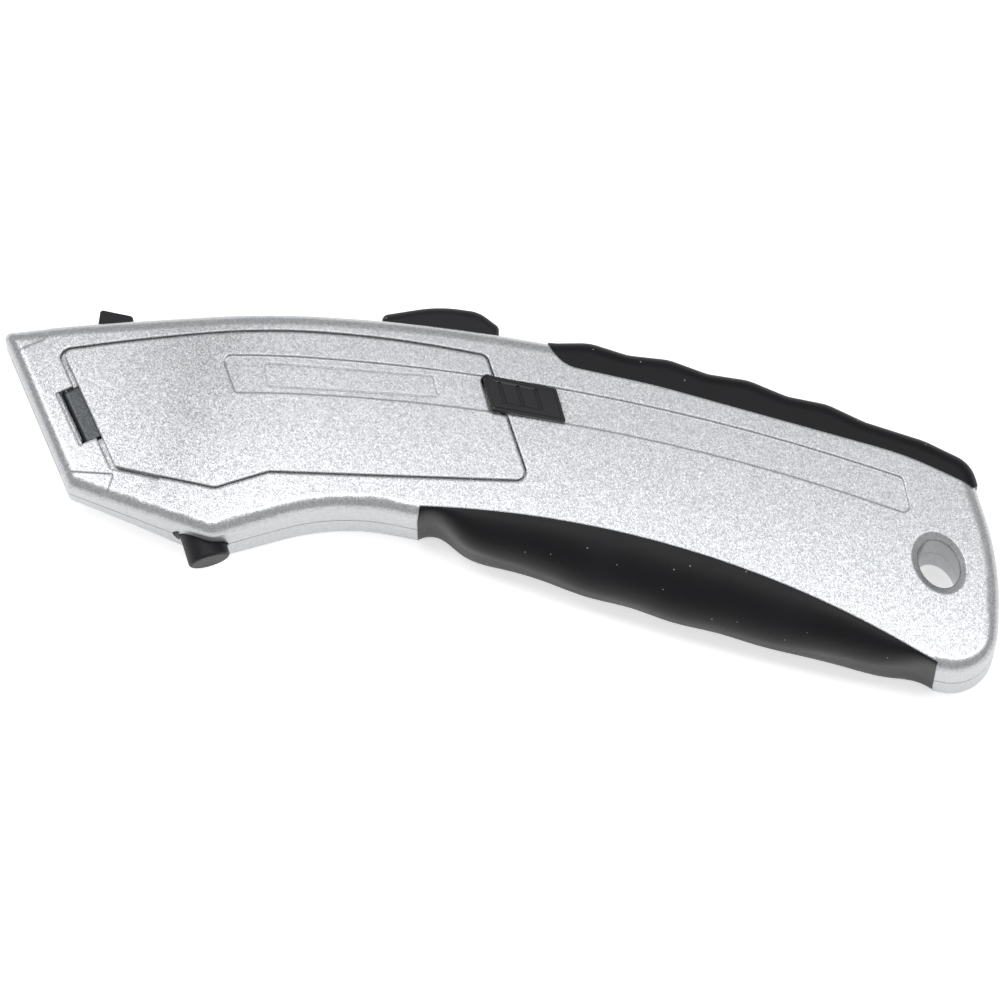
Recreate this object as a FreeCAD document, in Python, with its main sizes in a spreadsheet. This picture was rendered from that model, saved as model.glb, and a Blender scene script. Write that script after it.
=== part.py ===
import FreeCAD, Part
"""Retractable utility knife: two cast shells with rubber grips, a sliding blade carriage on a thumb
slider, a hinged side door over the spare blades with its sliding latch, a spring-loaded blade change
button in the belly and a blade release tab at the nose.

Frame: the knife lies on its back face.  +X runs from the nose to the tail, +Y from the belly to the
spine, +Z from the back face up to the door face.  The origin is on the back face.  The mating plane of
the two shells is half the body thickness up.  The blade, its carriage and the slider are drawn in the
blade frame: a along the blade towards the tail, h across it towards the spine, w up from the mating
plane; it is the main frame turned by the blade tilt about Z.
"""
import math
import os
from types import SimpleNamespace

import Sketcher
from FreeCAD import Placement, Rotation, Vector

SIZES = (
    ("nose_reach", 89.6, "origin to the top tip of the nose"),
    ("tail_reach", 89.25, "origin to the corner of the tail before it is rounded"),
    ("body_thickness", 18.4, "across both shells at the handle"),
    ("nose_thickness", 11.4, "across both shells at the nose"),
    ("taper_front", -74.0, "X where the thin nose ends"),
    ("taper_rear", -36.0, "X where the full thickness begins"),
    ("edge_radius", 2.2, "rounding of the long outer edges"),
    ("nose_corner", 1.0, "rounding of the two nose corners seen from the side"),
    ("wall", 1.8, "shell wall"),
    ("solid_nose", -72.0, "a where the hollow of the body begins, behind the solid nose"),
    ("seam_depth", 0.25, "depth of the groove along the mating plane"),
    ("seam_width", 0.24, "width of that groove"),
    ("blade_tilt", 8.0, "degrees between the blade and X"),
    ("blade_length", 61.0, "cutting edge of a trapezoid blade"),
    ("blade_spine", 33.0, "short side of the blade"),
    ("blade_height", 19.0, "height of the blade"),
    ("blade_gauge", 0.63, "thickness of the blade"),
    ("blade_rear", -13.0, "a of the rear point of the retracted blade"),
    ("blade_edge", -1.5, "h of the cutting edge"),
    ("blade_travel", 25.0, "stroke of the blade"),
    ("sliding_gap", 0.1, "play on each side of sliding pieces"),
    ("carrier_length", 38.0, "blade carrier along the blade"),
    ("carrier_depth", 3.2, "carrier below the mating plane"),
    ("carrier_rise", 1.55, "carrier above the mating plane"),
    ("neck_front", -17.3, "a of the front of the carrier neck"),
    ("neck_rear", -5.9, "a of the rear of the carrier neck"),
    ("neck_top", 23.5, "h of the top of the carrier neck"),
    ("stem_front", -15.6, "a of the front of the slider stem"),
    ("stem_rear", -7.6, "a of the rear of the slider stem"),
    ("stem_half", 1.2, "half thickness of the slider stem"),
    ("stem_foot", 22.6, "h of the foot of the slider stem"),
    ("spring_floor", 19.5, "h of the floor of the slider spring's pocket"),
    ("slider_width", 11.0, "thumb slider across the knife"),
    ("slider_front", -22.8, "a of the front of the retracted slider"),
    ("slider_rear", -2.7, "a of the rear of the retracted slider"),
    ("slider_press", 0.6, "travel of the slider towards the spine"),
    ("track_floor", 26.6, "h of the flat track under the slider"),
    ("grip_depth", 1.2, "rubber thickness on the sides of the spine grip"),
    ("belly_rubber", 2.0, "rubber thickness of the belly grip"),
    ("belly_core_wall", 1.8, "shell wall behind the belly grip"),
    ("door_thickness", 1.6, "side door plate"),
    ("door_gap", 0.35, "gap around the door"),
    ("swing_gap", 0.5, "extra gap ahead of the door's front, where its corner swings past the shell"),
    ("swing_gap_end", -57.0, "X where that extra gap ends"),
    ("door_under_gap", 0.15, "play between the door and its ledge"),
    ("ledge_width", 1.2, "ledge that the door rests on"),
    ("ledge_thickness", 1.0, "thickness of that ledge"),
    ("hinge_set_back", 2.0, "hinge axis in front of the door's front edge"),
    ("hinge_depth", 1.95, "hinge axis below the nose face"),
    ("hinge_length", 10.1, "hinge window along the axis"),
    ("barrel_radius", 0.95, "hinge barrel"),
    ("hinge_pin_radius", 0.4, "hinge pin"),
    ("bore_gap", 0.05, "radial play on pins"),
    ("hinge_ledge", 0.6, "shallow step in front of the hinge window"),
    ("tray_floor", 1.9, "w of the underside of the spare blade tray"),
    ("tray_gauge", 0.5, "sheet of the tray"),
    ("spare_edge", 3.2, "h of the cutting edge of the spare blades"),
    ("spare_front", -63.0, "a of the front point of the spare blades"),
    ("spare_count", 3, "spare blades in the tray"),
    ("band_depth", 0.5, "depth of the latch channel"),
    ("latch_travel", 6.0, "stroke of the latch"),
    ("latch_height", 1.1, "latch pad above the door face"),
    ("button_radius", 3.65, "blade change button"),
    ("button_proud", 3.3, "button outside the belly"),
    ("button_travel", 2.5, "stroke of the button"),
    ("closed_spring", 1.65, "height of the button spring when it is pressed flat"),
    ("button_gap", 0.25, "radial play of the button in its opening"),
    ("flange_radius", 4.4, "flange that keeps the button in"),
    ("flange_thickness", 1.2, "thickness of that flange"),
    ("plunger_radius", 1.4, "stem of the button"),
    ("tab_width", 4.4, "blade release tab across the knife"),
    ("tab_pin_radius", 0.7, "pivot pin of the tab"),
    ("tab_pin_length", 7.2, "length of that pin"),
    ("hole_long", 8.9, "hang hole, long way"),
    ("hole_short", 6.5, "hang hole, short way"),
    ("hole_rim", 1.35, "widening of the hang hole at each face"),
    ("screw_radius", 1.25, "shank of the body screws"),
    ("screw_head", 2.3, "radius of the screw heads"),
    ("screw_sunk", 1.0, "screw heads below the back face"),
    ("boss_radius", 2.4, "screw bosses on the door-side shell"),
)


def new_sheet(document):
    """The spreadsheet of driving sizes, one aliased cell each."""
    cells = document.addObject("Spreadsheet::Sheet", "Sizes")
    for row, (alias, value, meaning) in enumerate(SIZES, start=1):
        cells.set(f"A{row}", meaning)
        cells.set(f"B{row}", str(value))
        cells.setAlias(f"B{row}", alias)
    return cells


doc = FreeCAD.newDocument("UtilityKnife")
sheet = new_sheet(doc)
doc.recompute()
d = SimpleNamespace(**{alias: float(sheet.get(alias)) for alias, _, _ in SIZES})

MID = d.body_thickness / 2
FAR = 200.0
TILT = Rotation(Vector(0, 0, 1), d.blade_tilt)
BLADE_FRAME = Placement(Vector(0, 0, MID), TILT)
pieces = []


# ---------------------------------------------------------------- helpers


def rounded(corners):
    """Closed wire of straight runs joined by tangent arcs; corners are (x, y, radius)."""
    points = [Vector(x, y, 0) for x, y, _ in corners]
    count = len(points)
    bends = []
    for i, (_, _, radius) in enumerate(corners):
        corner = points[i]
        if radius <= 0:
            bends.append((corner, None, corner))
            continue
        back = (points[i - 1] - corner).normalize()
        ahead = (points[(i + 1) % count] - corner).normalize()
        half = back.getAngle(ahead) / 2
        inward = (back + ahead).normalize()
        run = radius / math.tan(half)
        middle = corner + inward * (radius / math.sin(half) - radius)
        bends.append((corner + back * run, middle, corner + ahead * run))
    edges = []
    for i, (start, middle, end) in enumerate(bends):
        if middle is not None:
            edges.append(Part.Arc(start, middle, end).toShape())
        following = bends[(i + 1) % count][0]
        run = following - end
        if run.dot(points[(i + 1) % count] - points[i]) < -1e-6:
            raise ValueError(f"corner {i} of an outline is rounded too far")
        if run.Length > 1e-6:
            edges.append(Part.LineSegment(end, following).toShape())
    return Part.Wire(edges)


def grown(wire, distance):
    """The wire offset outwards, or inwards when the distance is negative."""
    return wire.makeOffset2D(distance, 0)


def prism(wire, low, high):
    """Solid between two heights over a closed flat wire."""
    face = Part.Face(wire)
    face.translate(Vector(0, 0, low))
    return face.extrude(Vector(0, 0, high - low))


def block(x0, x1, y0, y1, z0, z1, frame=None):
    """Box between two corners, in the given frame."""
    solid = Part.makeBox(x1 - x0, y1 - y0, z1 - z0, Vector(x0, y0, z0))
    return placed(solid, frame)


def rod(radius, start, end, frame=None):
    """Round bar between two points, in the given frame."""
    axis = end - start
    return placed(Part.makeCylinder(radius, axis.Length, start, axis), frame)


def placed(solid, frame):
    """A copy of the solid carried into a frame, or the solid itself without one."""
    if frame is None:
        return solid
    copy = solid.copy()
    copy.Placement = frame.multiply(copy.Placement)
    return copy


def shifted(solid, x=0.0, y=0.0, z=0.0):
    """A copy of the solid moved along the axes."""
    copy = solid.copy()
    copy.translate(Vector(x, y, z))
    return copy


def feature(label, shape):
    """A sub-part whose shape is made with Part's own functions."""
    item = doc.addObject("Part::Feature", label)
    item.Label = label
    item.Shape = shape
    pieces.append(item)
    return item


def cylinder(label, radius, height, place):
    """A Part cylinder whose sizes are bound to the sheet."""
    item = doc.addObject("Part::Cylinder", label)
    item.Label = label
    item.setExpression("Radius", radius)
    item.setExpression("Height", height)
    item.Placement = place
    pieces.append(item)
    return item


def plate(label, wire, thickness, place, holes=()):
    """A PartDesign body: one sketch of the outline and its holes, padded by a bound thickness."""
    body = doc.addObject("PartDesign::Body", label)
    body.Label = label
    sketch = body.newObject("Sketcher::SketchObject", label + "_outline")
    ground = next(o for o in body.Origin.OriginFeatures if o.Role == "XY_Plane")
    sketch.AttachmentSupport = (ground, "")
    sketch.MapMode = "FlatFace"
    for edge in [e for w in (wire, *holes) for e in w.Edges]:
        first, last = edge.FirstParameter, edge.LastParameter
        if isinstance(edge.Curve, Part.Circle):
            if last - first > 2 * math.pi - 1e-6:
                curve = edge.Curve
            else:
                curve = Part.ArcOfCircle(edge.Curve, first, last)
        else:
            curve = Part.LineSegment(edge.valueAt(first), edge.valueAt(last))
        sketch.addGeometry(curve, False)
    pad = body.newObject("PartDesign::Pad", label + "_pad")
    pad.Profile = sketch
    pad.setExpression("Length", thickness)
    body.Placement = place
    pieces.append(body)
    return body


def box_wire(x0, x1, y0, y1, radius=0.0):
    """A rectangle with equal corner rounding."""
    return rounded([(x0, y0, radius), (x1, y0, radius), (x1, y1, radius), (x0, y1, radius)])


def coil(radius, wire_radius, turns, length, place):
    """Compression spring: a helix of round wire with its base at the place's origin, up local Z."""
    pitch = (length - 2 * wire_radius) / turns
    helix = Part.makeHelix(pitch, pitch * turns, radius)
    ring = Part.Circle(Vector(radius, 0, 0), Vector(0, 1, 0), wire_radius).toShape()
    spring = Part.Wire(helix.Edges).makePipeShell([Part.Wire(ring)], True, True)
    spring.translate(Vector(0, 0, wire_radius))
    return placed(spring, place)


# ---------------------------------------------------------------- outer form

SPINE_START = (-44.4, 24.84, 290.0)
BELLY = ((60.0, -14.6, 200.0), (-2.0, -7.9, 60.0), (-26.6, -8.44, 40.0), (-46.0, -19.2, 4.0))
NOSE_TOP = (-d.nose_reach, 8.8, d.nose_corner)
NOSE_FOOT = (17.4 - d.nose_reach, -15.3, d.nose_corner)
TAIL = ((d.tail_reach - 3.25, 6.5, 50.0), (d.tail_reach, -14.0, 7.5))
SPINE_END = ((37.5, 28.65, 320.0), (d.tail_reach - 12.65, 22.1, 8.0))
WAVE_PITCH, WAVE_START, WAVE_COUNT, WAVE_RISE = 14.0, 9.0, 4, 0.35


def crest(x):
    """Height of the spine grip's mean line."""
    return math.sqrt(309.1**2 - (x - 19.0) ** 2) - 280.6


def crest_corners():
    """Finger waves along the spine grip, then its fall to the tail."""
    corners = [(WAVE_START - 6.0, crest(3.0) - 0.75, 12.0)]
    for i in range(WAVE_COUNT):
        top = WAVE_START + i * WAVE_PITCH
        corners.append((top, crest(top) + WAVE_RISE + 0.1, 9.0))
        corners.append((top + WAVE_PITCH / 2, crest(top + WAVE_PITCH / 2) - WAVE_RISE, 9.0))
    end = d.tail_reach - 12.65
    return corners + [(end - 8.0, crest(end - 8.0) + 0.2, 14.0), (end + 0.6, 22.6, 6.0)]


def outline(with_grip=False):
    """Side view of the whole knife, with the spine bare or carrying its grip."""
    spine = crest_corners() if with_grip else SPINE_END
    return rounded([NOSE_TOP, SPINE_START, *spine, *TAIL, *BELLY, NOSE_FOOT])


def thickness_profile(inset):
    """Solid as thick as the body at every X, less an inset on both faces."""
    run = d.taper_rear - d.taper_front
    drop = (d.body_thickness - d.nose_thickness) / 2
    radius = 0.99 * (run**2 + drop**2) / (4 * drop)
    first, second = d.taper_front + run / 4, d.taper_rear - run / 4
    nose, full = d.nose_thickness / 2 - inset, d.body_thickness / 2 - inset
    upper = [(-FAR, MID + nose, 0), (first, MID + nose, radius), (second, MID + full, radius)]
    lower = [(second, MID - full, radius), (first, MID - nose, radius), (-FAR, MID - nose, 0)]
    wire = rounded(upper + [(FAR, MID + full, 0), (FAR, MID - full, 0)] + lower)
    wire.rotate(Vector(), Vector(1, 0, 0), 90)
    face = Part.Face(wire)
    face.translate(Vector(0, FAR / 2, 0))
    return face.extrude(Vector(0, -FAR, 0))


def envelope(wire):
    """Body of the given side view, tapered at the nose and rounded along its long edges."""
    solid = prism(wire, 0, d.body_thickness).common(thickness_profile(0))
    edges = []
    for edge in solid.Edges:
        direction = edge.tangentAt((edge.FirstParameter + edge.LastParameter) / 2)
        upright = abs(direction.z) > 0.9
        across = abs(direction.x) < 1e-3 and abs(direction.z) < 1e-3
        if not upright and not across:
            edges.append(edge)
    return solid.makeFillet(d.edge_radius, edges)


FORM = envelope(outline())
GRIP_FORM = envelope(outline(with_grip=True))


def below_face(wire, depth, base=MID):
    """Everything inside a wire and above a surface that lies a depth under the door face."""
    return prism(wire, base, d.body_thickness + 5).cut(shifted(FORM, z=-depth))


# The belly grip hangs under a shallow arc on the sides of the body.
GRIP_FRONT, GRIP_REAR = -12.5, d.tail_reach - 10.25
GRIP_SECTIONS = 13


def grip_line(x):
    """Where the silver side ends above the belly grip."""
    return math.sqrt(173.0**2 - (x - 20.6) ** 2) - 176.1


def grip_bottom(x):
    """Lowest line of the belly grip, with finger waves that die out towards both ends."""
    base = 404.0 - math.sqrt(418.5**2 - (x - 58.7) ** 2)
    share = (x - GRIP_FRONT) / (GRIP_REAR - GRIP_FRONT)
    fade = max(0.0, math.sin(math.pi * min(1.0, 1.25 * share)))
    return base - 0.22 * fade * math.cos(2 * math.pi * (x - 19.0) / 15.5)


def grip_section(x, inset, lift):
    """Cross-section of the belly: flat sides above, a quarter round to each side below."""
    share = (x - GRIP_FRONT) / (GRIP_REAR - GRIP_FRONT)
    fullness = 0.45 + 0.55 * math.sin(math.pi * share)
    across = d.edge_radius + (MID - d.edge_radius - 0.6 - inset) * fullness
    low, line, top = grip_bottom(x) + inset, grip_line(x), grip_line(x) + lift
    near, far = inset, d.body_thickness - inset
    depth = line - low
    k = 0.5523 + 0.07 * (1 - fullness)

    def at(y, z):
        return Vector(x, y, z)

    def bend(start, first, second, end):
        curve = Part.BezierCurve()
        curve.setPoles([start, first, second, end])
        return curve.toShape()

    left = bend(at(line, near), at(line - k * depth, near),
                at(low, near + across * (1 - k)), at(low, near + across))
    right = bend(at(low, far - across), at(low, far - across * (1 - k)),
                 at(line - k * depth, far), at(line, far))
    runs = [Part.LineSegment(at(top, near), at(line, near)).toShape(), left,
            Part.LineSegment(at(low, near + across), at(low, far - across)).toShape(), right,
            Part.LineSegment(at(line, far), at(top, far)).toShape(),
            Part.LineSegment(at(top, far), at(top, near)).toShape()]
    return Part.Wire(runs)


def belly(inset, lift, front=0.0, rear=0.0):
    """Rounded belly of the handle, inset all round, with both ends moved in by a margin."""
    step = (GRIP_REAR - rear - GRIP_FRONT - front) / (GRIP_SECTIONS - 1)
    stations = [GRIP_FRONT + front + i * step for i in range(GRIP_SECTIONS)]
    return Part.makeLoft([grip_section(x, inset, lift) for x in stations], True, False)


def belly_core():
    """Part of the castings that fills the belly grip."""
    return belly(d.belly_rubber, 0.5, front=3.0 * d.belly_rubber, rear=6.0 * d.belly_rubber)


def under_grip_line(rise=0.0, margin=0.0):
    """Region below the grip line, between the two ends of the belly grip or a margin past them."""
    front, rear = GRIP_FRONT - margin, GRIP_REAR + margin
    middle = (front + rear) / 2
    first, top, last = (Vector(x, grip_line(x) + rise, 0) for x in (front, middle, rear))
    arc = Part.Arc(first, top, last).toShape()
    low = [Vector(rear, -60, 0), Vector(front, -60, 0)]
    path = [last, *low, first]
    lines = [Part.LineSegment(p, q).toShape() for p, q in zip(path, path[1:])]
    return prism(Part.Wire([arc, *lines]), -1, d.body_thickness + 1)


# Side region of the spine grip, open above the spine.
SPINE_GRIP_END = d.tail_reach - 10.4
SPINE_GRIP = rounded([
    (1.9, 27.6, 0.0), (4.7, 23.45, 6.5), (22.0, 23.5, 110.0), (66.0, 21.1, 60.0),
    (SPINE_GRIP_END, 18.2, 0.6), (SPINE_GRIP_END + 2.5, 30.0, 0.0), (1.9, 34.0, 0.0),
])

# ---------------------------------------------------------------- door, channel and hinge outlines

DOOR = rounded([
    (-79.0, 7.7, 1.3), (-44.5, 20.97, 190.0), (-7.5, 22.15, 1.8), (4.6, 2.15, 1.6),
    (-38.9, -6.2, 3.0), (-47.3, -10.9, 2.2), (-65.2, -10.5, 0.8),
])
BAND = rounded([
    (-51.7, 12.45, 1.2), (5.9, 23.35, 380.0), (66.3, 17.1, 1.0), (69.3, 10.9, 1.0),
    (9.43, 18.24, 345.0), (-47.9, 6.25, 1.0),
])
LABEL = rounded([(-44.4, 12.6, 0.5), (-15.5, 16.8, 0.5), (-13.7, 13.3, 0.5), (-42.6, 8.6, 0.5)])
NOSE_PATCHES = (
    rounded([(-92.0, 8.0, 0.0), (-87.2, 5.2, 0.0), (-82.0, 9.0, 0.8), (-81.0, 20.0, 0.0),
             (-95.0, 20.0, 0.0)]),
    rounded([(-76.0, -13.4, 0.0), (-64.9, -11.7, 0.3), (-66.0, -22.0, 0.0), (-76.0, -22.0, 0.0)]),
)
LATCH = rounded([(-7.5, 18.5, 0.6), (5.5, 18.75, 0.4), (8.5, 13.3, 0.4), (-4.3, 12.75, 0.7)])
NECK = (-0.9, 0.5, 14.9, 16.5)

# Hinge frame: X along the hinge axis, Y towards the nose, Z up, origin on the door's front edge.
NOSE_FACE = MID + d.nose_thickness / 2
HINGE_FRAME = Placement(Vector(-71.8, -1.65, NOSE_FACE), Rotation(Vector(0, 0, 1), 127.5))
HINGE_AXIS = (Vector(-FAR, d.hinge_set_back, -d.hinge_depth), Vector(FAR, d.hinge_set_back, -d.hinge_depth))
HALF_HINGE = d.hinge_length / 2
POCKET_FRONT = d.hinge_set_back + d.barrel_radius + d.door_gap
POCKET_FLOOR = -d.hinge_depth - d.barrel_radius - 0.3

# ---------------------------------------------------------------- places of the inner pieces

CARRIER_REAR = d.neck_rear
CARRIER_FRONT = CARRIER_REAR - d.carrier_length
BUTTON_TILT = -30.0
BUTTON_PLACE = Placement(Vector(-47.5, -18.7, MID), Rotation(Vector(0, 0, 1), -BUTTON_TILT)
                         .multiply(Rotation(Vector(1, 0, 0), -90)))
TAB_PIVOT = Vector(-61.0, 22.2, 0)
TAIL_HOLE = Placement(Vector(d.tail_reach - 13.65, 3.8, 0), Rotation(Vector(0, 0, 1), -48))
WEAR_PLATE = rounded([
    (15.4 - d.nose_reach, d.blade_edge + 0.1, 0.3), (17.4 - d.nose_reach, d.blade_edge + 0.1, 0.3),
    (17.4 - d.nose_reach, 16.8, 0.3), (5.7 - d.nose_reach, 16.8, 0.3),
])
SCREWS = ((-58.0, -13.6), (15.0, 1.5), (d.tail_reach - 29.0, 5.0))
FLANGE_BASE = d.wall + 0.85
FLANGE_TOP = FLANGE_BASE + d.flange_thickness
BRACKET_BASE = FLANGE_TOP + d.button_travel + d.closed_spring


def oval(length, width, z):
    """Ellipse wire on the hang hole's axes."""
    curve = Part.Ellipse(Vector(0, 0, z), length / 2, width / 2)
    return placed(Part.Wire(curve.toShape()), TAIL_HOLE)


def hang_hole():
    """Oval through hole, flared to both faces."""
    bore = Part.makeLoft([oval(d.hole_long, d.hole_short, -1),
                          oval(d.hole_long, d.hole_short, d.body_thickness + 1)], True, True)
    flares = []
    for face, inward in ((0.0, 1.0), (d.body_thickness, -1.0)):
        wide = oval(d.hole_long + 2 * d.hole_rim, d.hole_short + 2 * d.hole_rim * 0.75, face)
        deep = oval(d.hole_long, d.hole_short, face + inward)
        flares.append(Part.makeLoft([wide, deep], True, True))
    return bore.fuse(flares)


def hollow():
    """Room inside the two shells, behind the solid nose and above the belly grip."""
    inner = grown(outline(), -d.wall)
    room = prism(inner, 0, d.body_thickness).common(thickness_profile(d.wall))
    room = room.cut(under_grip_line(d.wall))
    depth = d.belly_rubber + d.belly_core_wall
    room = room.fuse(belly(depth, d.wall + 0.5, front=3.0 * depth, rear=6.0 * depth))
    nose = block(-FAR, d.solid_nose, -FAR, FAR, -FAR, FAR, BLADE_FRAME)
    collar = prism(oval(d.hole_long + 3.6, d.hole_short + 3.6, 0), -1, d.body_thickness + 1)
    return room.cut(nose).cut(collar)


def blade_paths():
    """Slots through the shells: blade mouth, slider stem, slider track and release tab."""
    play = d.sliding_gap + 0.03
    thick = d.blade_gauge / 2 + play
    edge, back = d.blade_edge - 0.35, d.blade_edge + d.blade_height + 0.35
    mouth = block(-FAR, d.solid_nose + 1, edge, back, -thick, thick, BLADE_FRAME)
    side = d.stem_half + 0.3
    slot = block(d.stem_front - d.blade_travel - 0.4, d.stem_rear + 0.4, d.neck_top - 3, 40,
                 -side, side, BLADE_FRAME)
    across = d.slider_width / 2 + 0.3
    track = block(d.slider_front - d.blade_travel - 0.8, d.slider_rear + 1.2, d.track_floor, 40,
                  -across, across, BLADE_FRAME)
    wide = d.tab_width / 2 + 0.3
    tab = block(-72.1, -64.6, 20.8, 40, -wide, wide, BLADE_FRAME)
    return mouth.fuse([slot, track, tab])


def flange_room():
    """Room inside for the button's flange and spring, up to the spring bracket."""
    radius = d.flange_radius + d.button_gap
    low = FLANGE_BASE - 0.05
    return placed(Part.makeCylinder(radius, BRACKET_BASE - low, Vector(0, 0, low)), BUTTON_PLACE)


def button_opening():
    """Round opening in the belly for the blade change button, with the room behind it."""
    radius = d.button_radius + d.button_gap
    opening = placed(Part.makeCylinder(radius, 12, Vector(0, 0, -6)), BUTTON_PLACE)
    return opening.fuse(flange_room())


def tab_posts(low, high):
    """Post around the release tab's pin between two heights of the blade frame."""
    return rod(d.tab_pin_radius + 0.9, TAB_PIVOT + Vector(0, 0, low), TAB_PIVOT + Vector(0, 0, high),
               BLADE_FRAME)


def tab_bore():
    """Hole for the release tab's pin."""
    half = d.tab_pin_length / 2
    return rod(d.tab_pin_radius, TAB_PIVOT + Vector(0, 0, -half), TAB_PIVOT + Vector(0, 0, half),
               BLADE_FRAME)


def seam():
    """Groove around the body at the mating plane."""
    low, high = MID - d.seam_width / 2, MID + d.seam_width / 2
    return prism(outline(), low, high).cut(prism(grown(outline(), -d.seam_depth), low - 1, high + 1))


def shell_walls():
    """Both shells as one hollow casting, before they are parted."""
    side_grip = prism(SPINE_GRIP, d.body_thickness - d.grip_depth, d.body_thickness + 1)
    other_grip = prism(SPINE_GRIP, -1, d.grip_depth)
    skin = FORM.cut(under_grip_line()).fuse(belly_core())
    skin = skin.cut(side_grip).cut(other_grip)
    return skin.cut(hollow()).cut(blade_paths()).cut(button_opening()).cut(seam()).cut(hang_hole())


WALLS = shell_walls()


def guide_ribs():
    """Two rails on the back shell's floor that carry the blade carrier."""
    top = -d.carrier_depth - d.sliding_gap
    ribs = [block(d.solid_nose, d.slider_rear, y, y + 1.5, 1 - MID, top, BLADE_FRAME)
            for y in (3.0, 14.0)]
    return ribs[0].fuse(ribs[1])


def button_bracket():
    """Rib across the back shell that the button spring pushes against."""
    rib = Part.makeBox(9.6, 2 * MID, 0.9, Vector(-4.8, -MID, 0))
    hole = Part.makeCylinder(d.plunger_radius + 0.3, 3, Vector(0, 0, -1))
    return placed(rib.cut(hole), BUTTON_PLACE.multiply(Placement(Vector(0, 0, BRACKET_BASE), Rotation())))


def screw_bosses(low, high, radius, bore):
    """Posts with bores at every body screw."""
    posts = [Part.makeCylinder(radius, high - low, Vector(x, y, low)) for x, y in SCREWS]
    bores = [Part.makeCylinder(bore, high - low + 2, Vector(x, y, low - 1)) for x, y in SCREWS]
    return posts, bores


def back_face(x, y):
    """Height of the back face at a point, for sinking the screw heads."""
    return FORM.common(Part.makeLine(Vector(x, y, -1), Vector(x, y, MID))).BoundBox.ZMin


def lower_shell():
    """Shell on the back side, with rails, spring rib and the bosses that take the screw heads."""
    half = WALLS.common(block(-FAR, FAR, -FAR, FAR, -1, MID))
    posts, bores = screw_bosses(0, MID, d.screw_head + 0.9, d.screw_radius + 0.1)
    inner = block(-FAR, FAR, -FAR, FAR, -1, MID)
    extras = posts + [guide_ribs(), button_bracket(), tab_posts(-MID, -d.tab_width / 2)]
    extras = [e.common(FORM).common(inner) for e in extras]
    half = half.fuse(extras).cut(blade_paths())
    half = half.cut(bores + [tab_bore()])
    for x, y in SCREWS:
        sunk = back_face(x, y) + d.screw_sunk + 1.6
        half = half.cut(Part.makeCylinder(d.screw_head + 0.15, sunk + 1, Vector(x, y, -1)))
    pocket = placed(prism(WEAR_PLATE, -1.25, 1), BLADE_FRAME)
    return half.cut(pocket)


def door_ledge():
    """Ring inside the door opening that the door rests on."""
    ring = prism(grown(DOOR, 1.0), MID, 30).cut(prism(grown(DOOR, -d.ledge_width), 0, 31))
    depth = d.door_thickness + d.door_under_gap
    layer = shifted(FORM, z=-depth).cut(shifted(FORM, z=-depth - d.ledge_thickness))
    return ring.common(layer)


def upper_shell():
    """Shell on the door side, with the door recess, the hinge pocket and the latch channel."""
    half = WALLS.common(block(-FAR, FAR, -FAR, FAR, MID, 30))
    posts, bores = screw_bosses(MID, d.body_thickness - 1, d.boss_radius, d.screw_radius - 0.15)
    bores = [Part.makeCylinder(d.screw_radius, 5.2, Vector(x, y, MID - 1)) for x, y in SCREWS]
    posts.append(tab_posts(d.tab_width / 2, MID))
    half = half.fuse([p.common(FORM) for p in posts] + [door_ledge()]).cut(blade_paths())
    half = half.cut(bores + [tab_bore()])
    recess = grown(DOOR, d.door_gap / 2)
    depth = d.door_thickness + d.door_under_gap
    half = half.cut(below_face(recess, depth))
    ahead = HINGE_FRAME.Rotation.multVec(Vector(0, d.swing_gap, 0))
    relief = below_face(shifted(recess, ahead.x, ahead.y), depth)
    half = half.cut(relief.common(block(-FAR, d.swing_gap_end, -FAR, FAR, 0, 30)))
    half = half.cut(prism(grown(DOOR, -d.ledge_width), MID + d.blade_gauge, 30).cut(
        block(-FAR, FAR, POCKET_FRONT, FAR, -FAR, FAR, HINGE_FRAME)).cut(
        block(-FAR, FAR, -FAR, FAR, -FAR, POCKET_FLOOR, HINGE_FRAME).common(
            block(-FAR, d.solid_nose, -FAR, FAR, -FAR, FAR, BLADE_FRAME))))
    half = half.cut(block(-HALF_HINGE, HALF_HINGE, -3.8, POCKET_FRONT, POCKET_FLOOR, 9, HINGE_FRAME))
    half = half.cut(block(-HALF_HINGE, HALF_HINGE, 0, POCKET_FRONT + d.hinge_ledge, -0.5, 9, HINGE_FRAME))
    reach = HALF_HINGE + 1.6
    half = half.cut(rod(d.hinge_pin_radius, Vector(-reach, *HINGE_AXIS[0][1:]),
                        Vector(reach, *HINGE_AXIS[0][1:]), HINGE_FRAME))
    half = half.cut(below_face(BAND, d.band_depth))
    for patch in NOSE_PATCHES:
        half = half.cut(below_face(patch, 0.3))
    first, last, low, high = NECK
    slot = box_wire(first - 0.2, last + d.latch_travel + 0.3, low - 0.25, high + 0.45, 0.4)
    return half.cut(prism(slot, MID + 4, 30))


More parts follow.
